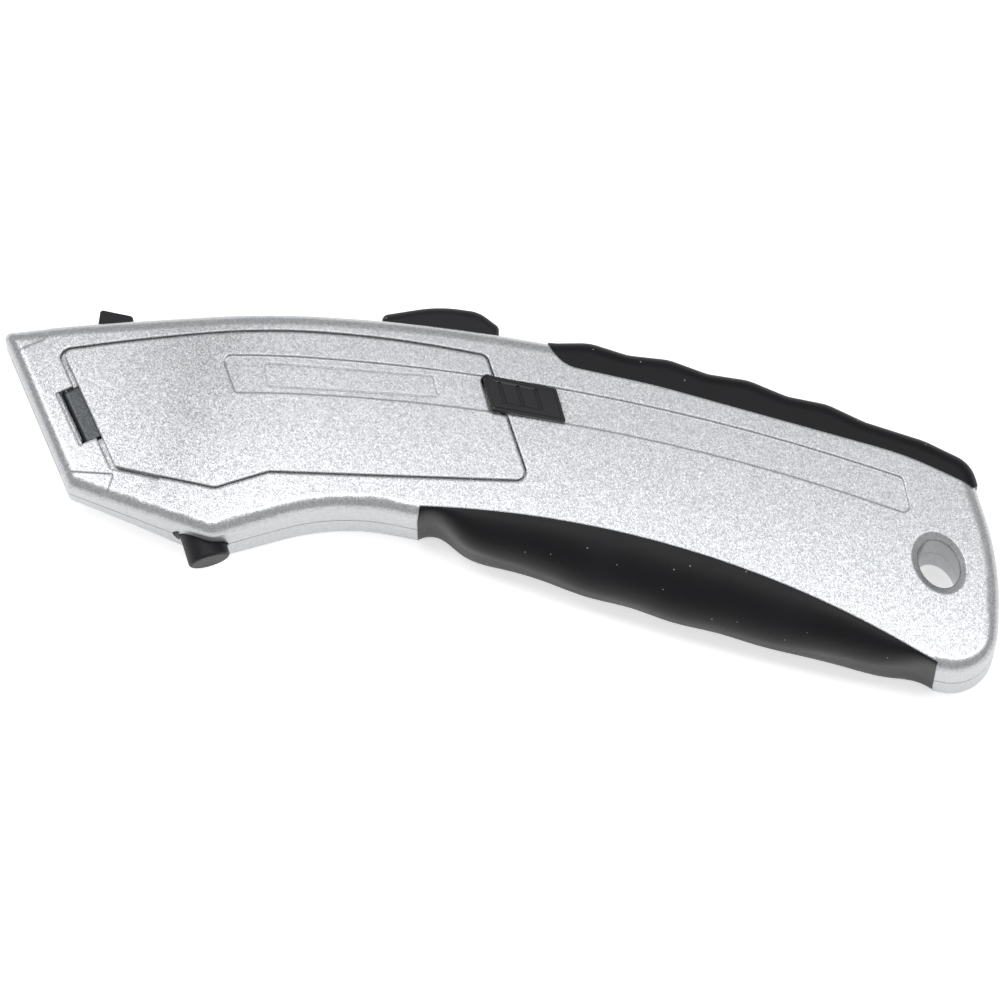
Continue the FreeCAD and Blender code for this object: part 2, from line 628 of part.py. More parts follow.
def side_door():
    """Hinged cover over the spare blades, with its hinge tongue and barrel."""
    panel = prism(grown(DOOR, -d.door_gap / 2), MID, 30).common(FORM)
    panel = panel.cut(shifted(FORM, z=-d.door_thickness))
    lean = Placement(Vector(), Rotation(Vector(1, 0, 0), -24))
    panel = panel.cut(block(-40, 40, -d.door_gap / 2, 40, -20, 5, HINGE_FRAME.multiply(lean)))
    panel = panel.cut(below_face(BAND, d.band_depth))
    label = prism(LABEL, MID, 30).cut(prism(grown(LABEL, -0.18), MID - 1, 31))
    panel = panel.cut(label.cut(shifted(FORM, z=-d.band_depth - 0.1)))
    panel = panel.cut(prism(grown(LATCH, 0.35), MID, 30))
    half = HALF_HINGE - 0.25
    tongue = block(-half, half, -3.4, d.hinge_set_back, -d.hinge_depth - 0.05,
                   d.barrel_radius - d.hinge_depth, HINGE_FRAME)
    y, z = d.hinge_set_back, -d.hinge_depth
    barrel = rod(d.barrel_radius, Vector(-half, y, z), Vector(half, y, z), HINGE_FRAME)
    bore = rod(d.hinge_pin_radius + d.bore_gap, Vector(-9, y, z), Vector(9, y, z), HINGE_FRAME)
    return panel.fuse([tongue, barrel]).cut(bore).removeSplitter()


def blade_wire(front, edge):
    """Trapezoid utility blade: long cutting edge, short spine with two locating notches."""
    side = (d.blade_length - d.blade_spine) / 2
    back = edge + d.blade_height
    corners = [(front, edge, 0.0), (front + d.blade_length, edge, 0.0)]
    middle = front + d.blade_length / 2
    corners.append((front + d.blade_length - side, back, 0.0))
    for centre in (middle + 3.0, middle - 3.0):
        for x, y in ((1.4, 0.0), (1.4, -2.4), (-1.4, -2.4), (-1.4, 0.0)):
            corners.append((centre + x, back + y, 0.4 if y else 0.0))
    corners.append((front + side, back, 0.0))
    return rounded(corners)


# ---------------------------------------------------------------- the pieces

feature("lower_shell", lower_shell())
feature("upper_shell", upper_shell())
casting = FORM.cut(under_grip_line()).fuse(belly_core())
side_grips = prism(SPINE_GRIP, -1, d.grip_depth).fuse(
    prism(SPINE_GRIP, d.body_thickness - d.grip_depth, d.body_thickness + 1))
feature("upper_grip", GRIP_FORM.common(prism(SPINE_GRIP, -1, 30)).cut(casting.cut(side_grips)))
feature("lower_grip", belly(0.0, 3.0).common(under_grip_line(margin=2.0)).cut(belly_core()))


def body_screws():
    """Three pan-head screws with hexagon sockets, driven from the back face."""
    solids = []
    for x, y in SCREWS:
        seat = back_face(x, y) + d.screw_sunk + 1.6
        head = Part.makeCylinder(d.screw_head, 1.6, Vector(x, y, seat - 1.6))
        shank = Part.makeCylinder(d.screw_radius, MID + 4.0 - seat, Vector(x, y, seat))
        corners = [Vector(x + 1.15 * math.cos(a), y + 1.15 * math.sin(a), seat - 2)
                   for a in (math.pi / 3 * i for i in range(7))]
        socket = Part.Face(Part.makePolygon(corners)).extrude(Vector(0, 0, 1.3))
        solids.append(head.fuse(shank).cut(socket).removeSplitter())
    return Part.makeCompound(solids)


feature("body_screws", body_screws())


def nose_guide():
    """Steel wear plate let into the back shell's nose, under the blade."""
    place = Placement(Vector(0, 0, MID - 1.25), TILT)
    return plate("nose_wear_plate", WEAR_PLATE, "0.75", place)


def detent_rail():
    """Toothed strip whose notches hold the blade at its stops."""
    low, high, left, right = 21.7, 23.2, -50.0, -4.0
    corners = [(left, low, 0.0), (right, low, 0.0), (right, high, 0.0)]
    stops = 4
    for i in range(stops):
        middle = -10.0 - i * d.blade_travel / (stops - 1)
        corners += [(middle + 1.0, high, 0.0), (middle, high - 0.7, 0.0), (middle - 1.0, high, 0.0)]
    corners.append((left, high, 0.0))
    place = Placement(Vector(0, 0, MID - 4.2), TILT)
    return plate("detent_rail", rounded(corners), "1.5", place)


def magazine_tray():
    """Sheet tray under the door opening: a floor with a low wall up to the door's ledge."""
    floor_z = MID + d.tray_floor
    base = prism(grown(DOOR, 0.6), floor_z, floor_z + d.tray_gauge)
    rim = prism(grown(DOOR, 0.6), floor_z, 30).cut(prism(grown(DOOR, 0.1), floor_z - 1, 31))
    depth = d.door_thickness + d.door_under_gap + d.ledge_thickness
    tray = base.fuse(rim.common(shifted(FORM, z=-depth)))
    hinge = block(-FAR, FAR, -4.4, FAR, -FAR, FAR, HINGE_FRAME)
    posts, _ = screw_bosses(MID, d.body_thickness, d.boss_radius + 0.2, 1)
    tab_room = block(d.solid_nose - 1, -55.5, 19.5, FAR, -FAR, FAR, BLADE_FRAME)
    posts += [tab_posts(0, MID), tab_room, flange_room()]
    return tray.cut(hinge).cut(posts).common(hollow())


feature("magazine_tray", magazine_tray())


def spare_blades():
    """A stack of spare blades lying in the tray."""
    stack = []
    for i in range(int(d.spare_count)):
        low = d.tray_floor + d.tray_gauge + 0.05 + i * (d.blade_gauge + 0.02)
        solid = prism(blade_wire(d.spare_front, d.spare_edge), low, low + d.blade_gauge)
        stack.append(placed(solid, BLADE_FRAME))
    return Part.makeCompound(stack)


feature("spare_blades", spare_blades())


def hinge_pin():
    """Steel pin of the side door, fixed in the door-side shell."""
    reach = HALF_HINGE + 1.6
    place = HINGE_FRAME.multiply(Placement(Vector(-reach, d.hinge_set_back, -d.hinge_depth),
                                           Rotation(Vector(0, 1, 0), 90)))
    return cylinder("door_hinge_pin", "Sizes.hinge_pin_radius", "Sizes.hinge_length + 3.2", place)


def door_pad():
    """Block on the inside of the door that keeps the spare blades down."""
    low = MID + d.tray_floor + d.tray_gauge + d.spare_count * (d.blade_gauge + 0.02) + 0.4
    solid = prism(box_wire(-32.0, -18.0, 4.5, 11.0, 1.0), low, 30)
    return solid.common(shifted(FORM, z=-d.door_thickness))


nose_guide()
detent_rail()
hinge_pin()
feature("side_door", side_door())
feature("door_pad", door_pad())


def door_catch():
    """Leaf spring under the tray's rear wall that snaps over the door's hook when it shuts."""
    leaf = block(7.0, 7.35, 5.5, 8.5, 12.2, 15.6)
    foot = block(7.0, 11.6, 5.5, 8.5, 11.85, 12.2)
    bump = rod(0.5, Vector(7.0, 5.5, 15.0), Vector(7.0, 8.5, 15.0))
    return leaf.fuse([foot, bump]).removeSplitter()


feature("door_catch_spring", door_catch())


def blade_carrier():
    """Cast carriage: bed under the blade, stops behind and above it, and the neck of the slider."""
    bed_top = -d.blade_gauge / 2 - 0.02
    low, high = -d.carrier_depth, d.carrier_rise
    back = d.blade_edge + d.blade_height + 0.05
    parts = [
        block(CARRIER_FRONT, CARRIER_REAR, 1.0, back + 1.3, low, bed_top),
        block(d.blade_rear + 0.1, CARRIER_REAR, 1.0, back + 1.3, low, high),
        block(CARRIER_FRONT, CARRIER_REAR, back, back + 1.3, low, high),
        block(d.neck_front, d.neck_rear, back, d.neck_top, -2.5, d.stem_half + 0.55),
    ]
    body = parts[0].fuse(parts[1:])
    side = d.stem_half + 0.12
    body = body.cut(block(d.stem_front - 0.15, d.stem_rear + 0.15, d.spring_floor, 40, -side, side))
    for y in (5.0, 12.0):
        body = body.cut(rod(0.8, Vector(CARRIER_REAR - 3.4, y, low - 1), Vector(CARRIER_REAR - 3.4, y, 9)))
    body = body.removeSplitter()
    return placed(body, BLADE_FRAME)


feature("blade_carrier", blade_carrier())


def retainer():
    """Thin steel strip over the blade, riveted to the carrier behind it."""
    low = d.blade_gauge / 2 + 0.03
    strip = block(CARRIER_FRONT + 2, d.blade_rear, 3.5, 14.5, low, low + 0.5)
    riser = block(d.blade_rear - 0.5, d.blade_rear, 3.5, 14.5, low, d.carrier_rise + 0.1)
    foot = block(d.blade_rear - 0.5, CARRIER_REAR - 0.4, 3.5, 14.5, d.carrier_rise, d.tray_floor - 0.1)
    window = block(CARRIER_FRONT + 8, d.blade_rear - 6, 6.5, 11.5, 0, 3)
    body = strip.fuse([riser, foot]).cut(window).removeSplitter()
    for y in (5.0, 12.0):
        body = body.cut(rod(0.8, Vector(CARRIER_REAR - 3.4, y, -4), Vector(CARRIER_REAR - 3.4, y, 9)))
    return placed(body, BLADE_FRAME)


feature("blade_retainer", retainer())
blade_place = Placement(Vector(0, 0, MID - d.blade_gauge / 2), TILT)
plate("blade", blade_wire(d.blade_rear - d.blade_length, d.blade_edge), "Sizes.blade_gauge", blade_place)


def carrier_rivets():
    """Two rivets that hold the retainer to the carrier."""
    rivets = [rod(0.8, Vector(CARRIER_REAR - 3.4, y, -d.carrier_depth + 0.1),
                  Vector(CARRIER_REAR - 3.4, y, d.tray_floor - 0.1)) for y in (5.0, 12.0)]
    return placed(Part.makeCompound(rivets), BLADE_FRAME)


feature("carrier_rivets", carrier_rivets())
spring_place = BLADE_FRAME.multiply(Placement(
    Vector((d.stem_front + d.stem_rear) / 2, d.spring_floor + 0.02, 0), Rotation(Vector(1, 0, 0), -90)))
feature("slider_spring", coil(1.0, 0.2, 4, d.stem_foot - d.spring_floor - 0.06, spring_place))


def thumb_slider():
    """Domed thumb pad with the stem that reaches down into the carrier."""
    base = d.track_floor + d.slider_press + d.sliding_gap
    front, rear, half = d.slider_front, d.slider_rear, d.slider_width / 2
    profile = rounded([(front, base, 0.0), (front - 0.1, base + 2.7, 1.1), (-13.4, base + 5.1, 24.0),
                       (-6.4, base + 4.7, 6.0), (rear, base + 2.3, 1.2), (rear, base, 0.0)])
    dome = prism(profile, -half, half)
    edges = []
    for edge in dome.Edges:
        middle = edge.valueAt((edge.FirstParameter + edge.LastParameter) / 2)
        direction = edge.tangentAt((edge.FirstParameter + edge.LastParameter) / 2)
        if abs(direction.z) < 0.5 and middle.y > base + 0.2:
            edges.append(edge)
    dome = dome.makeFillet(1.6, edges)
    stem = block(d.stem_front, d.stem_rear, d.stem_foot, base + 1, -d.stem_half, d.stem_half)
    return placed(dome.fuse(stem).removeSplitter(), BLADE_FRAME)


feature("thumb_slider", thumb_slider())


def latch_pad():
    """Sliding catch of the door: ridged pad with a core in the channel and a neck through the wall."""
    top = d.body_thickness
    pad = prism(LATCH, top + 0.1, top + d.latch_height)
    step = prism(grown(LATCH, -0.55), top + 0.1, top + d.latch_height + 0.25)
    core = prism(grown(LATCH, -1.1), top - d.band_depth + 0.1, top + 0.2)
    neck = block(*NECK, top - d.wall - 0.92, top)
    body = pad.fuse([step, core, neck])
    slant = Rotation(Vector(0, 0, 1), -60.5)
    for i in range(3):
        groove = rounded([(-1.95, -0.3, 0.29), (1.95, -0.3, 0.29), (1.95, 0.3, 0.29), (-1.95, 0.3, 0.29)])
        place = Placement(Vector(-3.3 + 3.15 * i, 15.95 + 0.1 * i, top + d.latch_height - 0.35), slant)
        body = body.cut(placed(prism(groove, 0, 2), place))
    return body.removeSplitter()


feature("latch_pad", latch_pad())
LATCH_PLATE_TOP = d.body_thickness - d.wall - 0.12
plate("latch_plate", box_wire(-1.3, 5.5, 14.1, 18.1, 0.6), "0.8",
      Placement(Vector(0, 0, LATCH_PLATE_TOP - 0.8), Rotation()), [box_wire(*NECK)])


def latch_detent():
    """Leaf under the latch plate that steadies the latch."""
    low = LATCH_PLATE_TOP - 0.8 - 0.45
    leaf = block(0.0, 22.0, 14.6, 17.0, low, low + 0.3)
    stand = block(19.6, 22.0, 14.6, 17.0, low, d.body_thickness - d.wall - 0.001)
    return leaf.fuse(stand).removeSplitter()


feature("latch_detent_spring", latch_detent())


PLUNGER_FOOT = Vector(0, 0, d.wall + 0.1)


def change_button():
    """Round blade change button with the flange that keeps it in."""
    cap = Part.makeCylinder(d.button_radius, d.button_proud + FLANGE_BASE + 0.05,
                            Vector(0, 0, -d.button_proud))
    rim = [e for e in cap.Edges if isinstance(e.Curve, Part.Circle) and e.BoundBox.ZMax < 0]
    cap = cap.makeFillet(0.6, rim)
    flange = Part.makeCylinder(d.flange_radius, d.flange_thickness, Vector(0, 0, FLANGE_BASE))
    bore = Part.makeCylinder(d.plunger_radius, FLANGE_TOP, PLUNGER_FOOT)
    return placed(cap.fuse(flange).removeSplitter().cut(bore), BUTTON_PLACE)


feature("change_button", change_button())
plunger_place = BUTTON_PLACE.multiply(Placement(PLUNGER_FOOT, Rotation()))
cylinder("button_plunger", "Sizes.plunger_radius", "4.4", plunger_place)
button_spring_place = BUTTON_PLACE.multiply(Placement(Vector(0, 0, FLANGE_TOP + 0.02), Rotation()))
feature("button_spring", coil(2.3, 0.18, 3.5, BRACKET_BASE - FLANGE_TOP - 0.06, button_spring_place))


def release_tab():
    """Rocking tab at the nose: wedge above the spine on a lever around a cross pin."""
    half = d.tab_width / 2
    wedge = rounded([(-71.5, 22.0, 0.0), (-71.3, 27.3, 0.5), (-65.5, 26.6, 0.8), (-65.3, 22.0, 0.0)])
    lever = rounded([(-71.5, 21.5, 0.3), (-56.6, 21.6, 0.3), (-56.6, 22.9, 0.3), (-71.5, 23.2, 0.3)])
    body = prism(wedge, -half, half).fuse(prism(lever, -half + 0.6, half - 0.6))
    bore = rod(d.tab_pin_radius + d.bore_gap, TAB_PIVOT + Vector(0, 0, -9), TAB_PIVOT + Vector(0, 0, 9))
    return placed(body.cut(bore).removeSplitter(), BLADE_FRAME)


feature("blade_release_tab", release_tab())
tab_pin_place = BLADE_FRAME.multiply(Placement(TAB_PIVOT - Vector(0, 0, d.tab_pin_length / 2), Rotation()))
cylinder("tab_pin", "Sizes.tab_pin_radius", "Sizes.tab_pin_length", tab_pin_place)
tab_spring_place = BLADE_FRAME.multiply(Placement(Vector(-57.6, 22.95, 0), Rotation(Vector(1, 0, 0), -90)))
feature("tab_spring", coil(0.8, 0.12, 3, 1.0, tab_spring_place))

# ---------------------------------------------------------------- check and write

doc.recompute()
os.makedirs("parts", exist_ok=True)
for item in doc.Objects:
    if {"Invalid", "Error"} & set(item.State):
        raise RuntimeError(f"{item.Label} failed: {item.State}")
for item in pieces:
    if item.Shape.isNull() or not item.Shape.isValid():
        raise RuntimeError(f"{item.Label} has no valid shape")
    item.Shape.exportStep(os.path.join("parts", item.Label + ".step"))
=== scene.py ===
"""Looks of a retractable utility knife: painted castings, rubber grips, moulded controls and steel works.

The castings, grips and moulded controls are cleaned copies of the design's own pieces with softened
edges. Screws, rivets, springs and blades are made here from their sizes. Everything is in metres, in
the frame of the design: X from the nose to the tail, Y towards the spine, Z up from the back face.
"""
import logging
import math
from collections.abc import Iterable, Sequence
from dataclasses import dataclass, field, replace
from enum import Enum

import bmesh
import bpy
from mathutils import Euler, Matrix, Vector


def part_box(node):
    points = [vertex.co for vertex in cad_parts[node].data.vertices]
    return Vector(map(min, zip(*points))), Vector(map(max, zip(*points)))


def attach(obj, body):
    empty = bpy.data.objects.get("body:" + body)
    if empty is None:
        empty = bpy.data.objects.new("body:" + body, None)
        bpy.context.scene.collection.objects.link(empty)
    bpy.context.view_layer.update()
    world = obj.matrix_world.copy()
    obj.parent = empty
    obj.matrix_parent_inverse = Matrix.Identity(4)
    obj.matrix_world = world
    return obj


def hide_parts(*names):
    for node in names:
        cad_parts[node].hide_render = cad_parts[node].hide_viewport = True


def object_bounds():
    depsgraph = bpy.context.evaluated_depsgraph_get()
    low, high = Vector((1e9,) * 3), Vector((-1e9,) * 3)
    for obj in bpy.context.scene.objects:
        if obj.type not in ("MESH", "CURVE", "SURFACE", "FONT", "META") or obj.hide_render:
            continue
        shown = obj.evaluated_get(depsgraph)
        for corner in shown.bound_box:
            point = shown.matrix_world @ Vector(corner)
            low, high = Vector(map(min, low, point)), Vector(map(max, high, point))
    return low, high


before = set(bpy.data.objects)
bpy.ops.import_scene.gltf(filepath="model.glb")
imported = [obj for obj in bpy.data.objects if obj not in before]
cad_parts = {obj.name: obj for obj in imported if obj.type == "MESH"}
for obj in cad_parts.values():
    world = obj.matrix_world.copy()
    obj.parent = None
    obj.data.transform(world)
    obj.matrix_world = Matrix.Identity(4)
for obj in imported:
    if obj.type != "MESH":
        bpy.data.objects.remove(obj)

DESIGN_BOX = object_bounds()
MM = 0.001
BLADE_TILT = math.radians(8.0)

log = logging.getLogger("utility_knife")

Colour = tuple[float, float, float]


class Slot(Enum):
    """The record's material slots."""

    SILVER = "silver_paint"
    RUBBER = "soft_rubber"
    PLASTIC = "black_plastic"
    ZINC = "zinc_steel"
    SPRING = "spring_steel"
    BLADE = "blade_steel"
    CAST = "cast_zinc"


class Body(Enum):
    """The bodies that pieces ride on."""

    SHELLS = "root"
    CARRIAGE = "carriage"
    SLIDER = "slider"
    DOOR = "door"
    LATCH = "latch"
    BUTTON = "button"
    TAB = "tab"


# ---------------------------------------------------------------- node trees


class NodeSheet:
    """A node tree with short calls that add and wire its nodes."""

    def __init__(self, tree: bpy.types.NodeTree) -> None:
        """Keeps the tree.

        Args:
            tree: the tree that nodes are added to.
        """
        self.tree = tree

    def add(self, kind: str, inputs: dict | None = None, **settings: object) -> bpy.types.Node:
        """Adds a node, with its inputs set or wired.

        Args:
            kind: the node's type name.
            inputs: socket name or number to a value, or to the output that feeds it.
            settings: properties of the node itself.

        Returns:
            The new node.
        """
        node = self.tree.nodes.new(kind)
        for key, value in settings.items():
            setattr(node, key, value)
        for key, value in (inputs or {}).items():
            socket = node.inputs[key]
            if isinstance(value, bpy.types.NodeSocket):
                self.tree.links.new(value, socket)
            else:
                socket.default_value = value
        return node

    def maths(self, operation: str, *values: object) -> bpy.types.NodeSocket:
        """A Math node's result.

        Args:
            operation: the operation's name.
            values: one to three numbers or outputs.

        Returns:
            The node's output.
        """
        return self.add("ShaderNodeMath", dict(enumerate(values)), operation=operation).outputs[0]

    def vector_maths(self, operation: str, inputs: dict) -> bpy.types.NodeSocket:
        """A Vector Math node's vector result.

        Args:
            operation: the operation's name.
            inputs: socket name or number to its value or feeding output.

        Returns:
            The node's vector output.
        """
        return self.add("ShaderNodeVectorMath", inputs, operation=operation).outputs[0]

    def remap(self, value: bpy.types.NodeSocket, low: float, high: float,
              to_low: float = 0.0, to_high: float = 1.0) -> bpy.types.NodeSocket:
        """A value carried from one range to another, and held at its ends.

        Args:
            value: the output to carry over.
            low: where the first range begins.
            high: where it ends.
            to_low: what its beginning becomes.
            to_high: what its end becomes.

        Returns:
            The carried value.
        """
        inputs = {"Value": value, "From Min": low, "From Max": high, "To Min": to_low, "To Max": to_high}
        return self.add("ShaderNodeMapRange", inputs).outputs["Result"]

    def blend(self, share: object, first: object, second: object) -> bpy.types.NodeSocket:
        """A mix of two colours.

        Args:
            share: the second colour's share, a number or an output.
            first: a colour or an output.
            second: a colour or an output.

        Returns:
            The mixed colour.
        """
        node = self.add("ShaderNodeMix", data_type="RGBA")
        ends = {0: share, 6: first, 7: second}
        for number, value in ends.items():
            if isinstance(value, bpy.types.NodeSocket):
                self.tree.links.new(value, node.inputs[number])
            elif isinstance(value, tuple):
                node.inputs[number].default_value = (*value, 1.0)
            else:
                node.inputs[number].default_value = value
        return node.outputs[2]


@dataclass(frozen=True)
class Port:
    """One named socket of a node group."""

    name: str
    kind: str = "Float"
    value: float | None = None


def new_group(name: str, kind: str, takes: Sequence[Port], gives: Sequence[Port]) -> tuple:
    """An empty node group with its named sockets.

    Args:
        name: the group's name.
        kind: the tree's type name.
        takes: the input sockets.
        gives: the output sockets.

    Returns:
        The sheet, the group's input node and its output node.
    """
    tree = bpy.data.node_groups.new(name, kind)
    for ports, side in ((takes, "INPUT"), (gives, "OUTPUT")):
        for port in ports:
            socket = tree.interface.new_socket(port.name, in_out=side, socket_type="NodeSocket" + port.kind)
            if port.value is not None:
                socket.default_value = port.value
    sheet = NodeSheet(tree)
    return sheet, sheet.add("NodeGroupInput"), sheet.add("NodeGroupOutput")


class Effects:
    """Shader groups that several finishes share, each built once."""

    def __init__(self) -> None:
        """Builds the groups."""
        self.flake = self._flake()
        self.grain = self._grain()
        self.specks = self._specks()
        self.brushing = self._brushing()

    @staticmethod
    def _flake() -> bpy.types.NodeTree:
        """Metal flakes in paint: small cells, each with its own tilt and tone.

        Returns:
            The group.
        """
        takes = (Port("Vector", "Vector"), Port("Normal", "Vector"), Port("Cells per metre", value=4000.0),
                 Port("Tilt", value=0.3))
        gives = (Port("Normal", "Vector"), Port("Tone"))
        sheet, given, result = new_group("metal_flake", "ShaderNodeTree", takes, gives)
        inputs = {"Vector": given.outputs["Vector"], "Scale": given.outputs["Cells per metre"]}
        cells = sheet.add("ShaderNodeTexVoronoi", inputs)
        centred = sheet.vector_maths("SUBTRACT", {0: cells.outputs["Color"], 1: (0.5, 0.5, 0.5)})
        tilted = sheet.vector_maths("SCALE", {0: centred, "Scale": given.outputs["Tilt"]})
        leaning = sheet.vector_maths("ADD", {0: tilted, 1: given.outputs["Normal"]})
        unit = sheet.vector_maths("NORMALIZE", {0: leaning})
        tone = sheet.add("ShaderNodeSeparateColor", {"Color": cells.outputs["Color"]})
        sheet.tree.links.new(unit, result.inputs["Normal"])
        sheet.tree.links.new(tone.outputs[0], result.inputs["Tone"])
        return sheet.tree

    @staticmethod
    def _grain() -> bpy.types.NodeTree:
        """Moulded grain: fine height over a broad drift of tone.

        Returns:
            The group.
        """
        takes = (Port("Vector", "Vector"), Port("Fine", value=6000.0), Port("Broad", value=60.0))
        gives = (Port("Height"), Port("Drift"))
        sheet, given, result = new_group("moulded_grain", "ShaderNodeTree", takes, gives)
        inputs = {"Vector": given.outputs["Vector"], "Scale": given.outputs["Fine"], "Detail": 3.0}
        fine = sheet.add("ShaderNodeTexNoise", inputs)
        inputs = {"Vector": given.outputs["Vector"], "Scale": given.outputs["Broad"], "Detail": 4.0}
        broad = sheet.add("ShaderNodeTexNoise", inputs)
        drift = sheet.remap(broad.outputs["Factor" if "Factor" in broad.outputs else "Fac"], 0.3, 0.7)
        sheet.tree.links.new(fine.outputs[0], result.inputs["Height"])
        sheet.tree.links.new(drift, result.inputs["Drift"])
        return sheet.tree

    @staticmethod
    def _specks() -> bpy.types.NodeTree:
        """Sparse specks of dust: a few cells of a coarse pattern hold one small dot each.

        Returns:
            The group.
        """
        takes = (Port("Vector", "Vector"), Port("Cells per metre", value=500.0), Port("Dot", value=0.07),
                 Port("Share", value=0.2))
        gives = (Port("Mask"),)
        sheet, given, result = new_group("dust_specks", "ShaderNodeTree", takes, gives)
        inputs = {"Vector": given.outputs["Vector"], "Scale": given.outputs["Cells per metre"]}
        cells = sheet.add("ShaderNodeTexVoronoi", inputs)
        near = sheet.maths("LESS_THAN", cells.outputs["Distance"], given.outputs["Dot"])
        lot = sheet.add("ShaderNodeSeparateColor", {"Color": cells.outputs["Color"]}).outputs[0]
        chosen = sheet.maths("LESS_THAN", lot, given.outputs["Share"])
        sheet.tree.links.new(sheet.maths("MULTIPLY", near, chosen), result.inputs["Mask"])
        return sheet.tree

    @staticmethod
    def _brushing() -> bpy.types.NodeTree:
        """Grinding lines: noise drawn out along one axis.

        Returns:
            The group.
        """
        takes = (Port("Vector", "Vector"), Port("Lines per metre", value=3000.0), Port("Turn", value=0.0),
                 Port("Length", value=40.0))
        gives = (Port("Height"), Port("Tone"))
        sheet, given, result = new_group("grinding_lines", "ShaderNodeTree", takes, gives)
        turned = sheet.add("ShaderNodeVectorRotate", {"Vector": given.outputs["Vector"],
                                                      "Angle": given.outputs["Turn"]}, rotation_type="Z_AXIS")
        short = sheet.maths("DIVIDE", 1.0, given.outputs["Length"])
        stretch = sheet.add("ShaderNodeCombineXYZ", {0: short, 1: 1.0, 2: 1.0})
        drawn = sheet.vector_maths("MULTIPLY", {0: turned.outputs[0], 1: stretch.outputs[0]})
        lines = sheet.add("ShaderNodeTexNoise", {"Vector": drawn, "Scale": given.outputs["Lines per metre"],
                                                 "Detail": 2.0})
        sheet.tree.links.new(lines.outputs[0], result.inputs["Height"])
        sheet.tree.links.new(sheet.remap(lines.outputs[0], 0.3, 0.7), result.inputs["Tone"])
        return sheet.tree


# ---------------------------------------------------------------- finishes


@dataclass(frozen=True)
class Finish:
    """What every finish has: a name, its tones and its gloss."""

    name: str
    dark: Colour
    light: Colour
    roughness: tuple[float, float]
    metallic: float = 0.0
    specular: float = 0.5
    edge: float = 0.0

    def begin(self, effects: Effects) -> tuple:
        """A new material with its fixed values set.

        Args:
            effects: the shared groups; not used.

        Returns:
            The material, its sheet, its Principled shader, its object coordinates and its surface normal.
        """
        material = bpy.data.materials.new(self.name)
        material.use_nodes = True
        material.node_tree.nodes.clear()
        material.diffuse_color = (*self.light, 1.0)
        sheet = NodeSheet(material.node_tree)
        fixed = {"Metallic": self.metallic, "Specular IOR Level": self.specular}
        shader = sheet.add("ShaderNodeBsdfPrincipled", fixed)
        sheet.add("ShaderNodeOutputMaterial", {"Surface": shader.outputs[0]})
        place = sheet.add("ShaderNodeTexCoord").outputs["Object"]
        if self.edge:
            normal = sheet.add("ShaderNodeBevel", {"Radius": self.edge}, samples=6).outputs[0]
        else:
            normal = sheet.add("ShaderNodeNewGeometry").outputs["Normal"]
        return material, sheet, shader, place, normal

    def tint(self, sheet: NodeSheet, shader: bpy.types.Node, tone: bpy.types.NodeSocket) -> None:
        """Feeds colour and roughness from one tone.

        Args:
            sheet: the material's sheet.
            shader: its Principled shader.
            tone: the tone, 0 to 1.
        """
        sheet.tree.links.new(sheet.blend(tone, self.dark, self.light), shader.inputs["Base Color"])
        rough = sheet.remap(tone, 0.0, 1.0, *self.roughness)
        sheet.tree.links.new(rough, shader.inputs["Roughness"])


@dataclass(frozen=True)
class FlakePaint(Finish):
    """Metallic paint with visible flakes over a fine orange peel. Where a height is given, it also carries painted
    shade: a dark colour on the surfaces lying lower than that height, standing in for the shade in recesses.
    """

    cells: float = 5200.0
    tilt: float = 0.09
    peel: float = 900.0
    peel_depth: float = 0.00002
    # Painted shade: surfaces lower than this height (object Z) get the dark colour below, standing in for the shade
    # in recesses.
    painted_shade_below: float | None = None
    painted_shade_tone: Colour = (0.07, 0.075, 0.08)

    def material(self, effects: Effects) -> bpy.types.Material:
        """Builds the paint.

        Args:
            effects: the shared groups.

        Returns:
            The material.
        """
        material, sheet, shader, place, normal = self.begin(effects)
        inputs = {"Vector": place, "Normal": normal, "Cells per metre": self.cells, "Tilt": self.tilt}
        flake = sheet.add("ShaderNodeGroup", node_tree=effects.flake)
        grain = sheet.add("ShaderNodeGroup", node_tree=effects.grain)
        for key, value in inputs.items():
            wire(sheet, value, flake.inputs[key])
        for key, value in {"Vector": place, "Fine": self.peel, "Broad": 25.0}.items():
            wire(sheet, value, grain.inputs[key])
        self.tint(sheet, shader, flake.outputs["Tone"])
        # Painted shade: around the given height the paint colour fades over 0.4 mm into the dark shade colour, which
        # is full below that height.
        if self.painted_shade_below is not None:
            height = sheet.add("ShaderNodeSeparateXYZ", {0: place}).outputs[2]
            low = sheet.remap(height, self.painted_shade_below - 0.2 * MM, self.painted_shade_below + 0.2 * MM, 1.0, 0.0)
            painted = shader.inputs["Base Color"].links[0].from_socket
            sheet.tree.links.new(sheet.blend(low, painted, self.painted_shade_tone), shader.inputs["Base Color"])
        inputs = {"Height": grain.outputs["Height"], "Normal": flake.outputs["Normal"],
                  "Distance": self.peel_depth, "Strength": 1.0}
        bump = sheet.add("ShaderNodeBump", inputs)
        sheet.tree.links.new(bump.outputs[0], shader.inputs["Normal"])
        return material


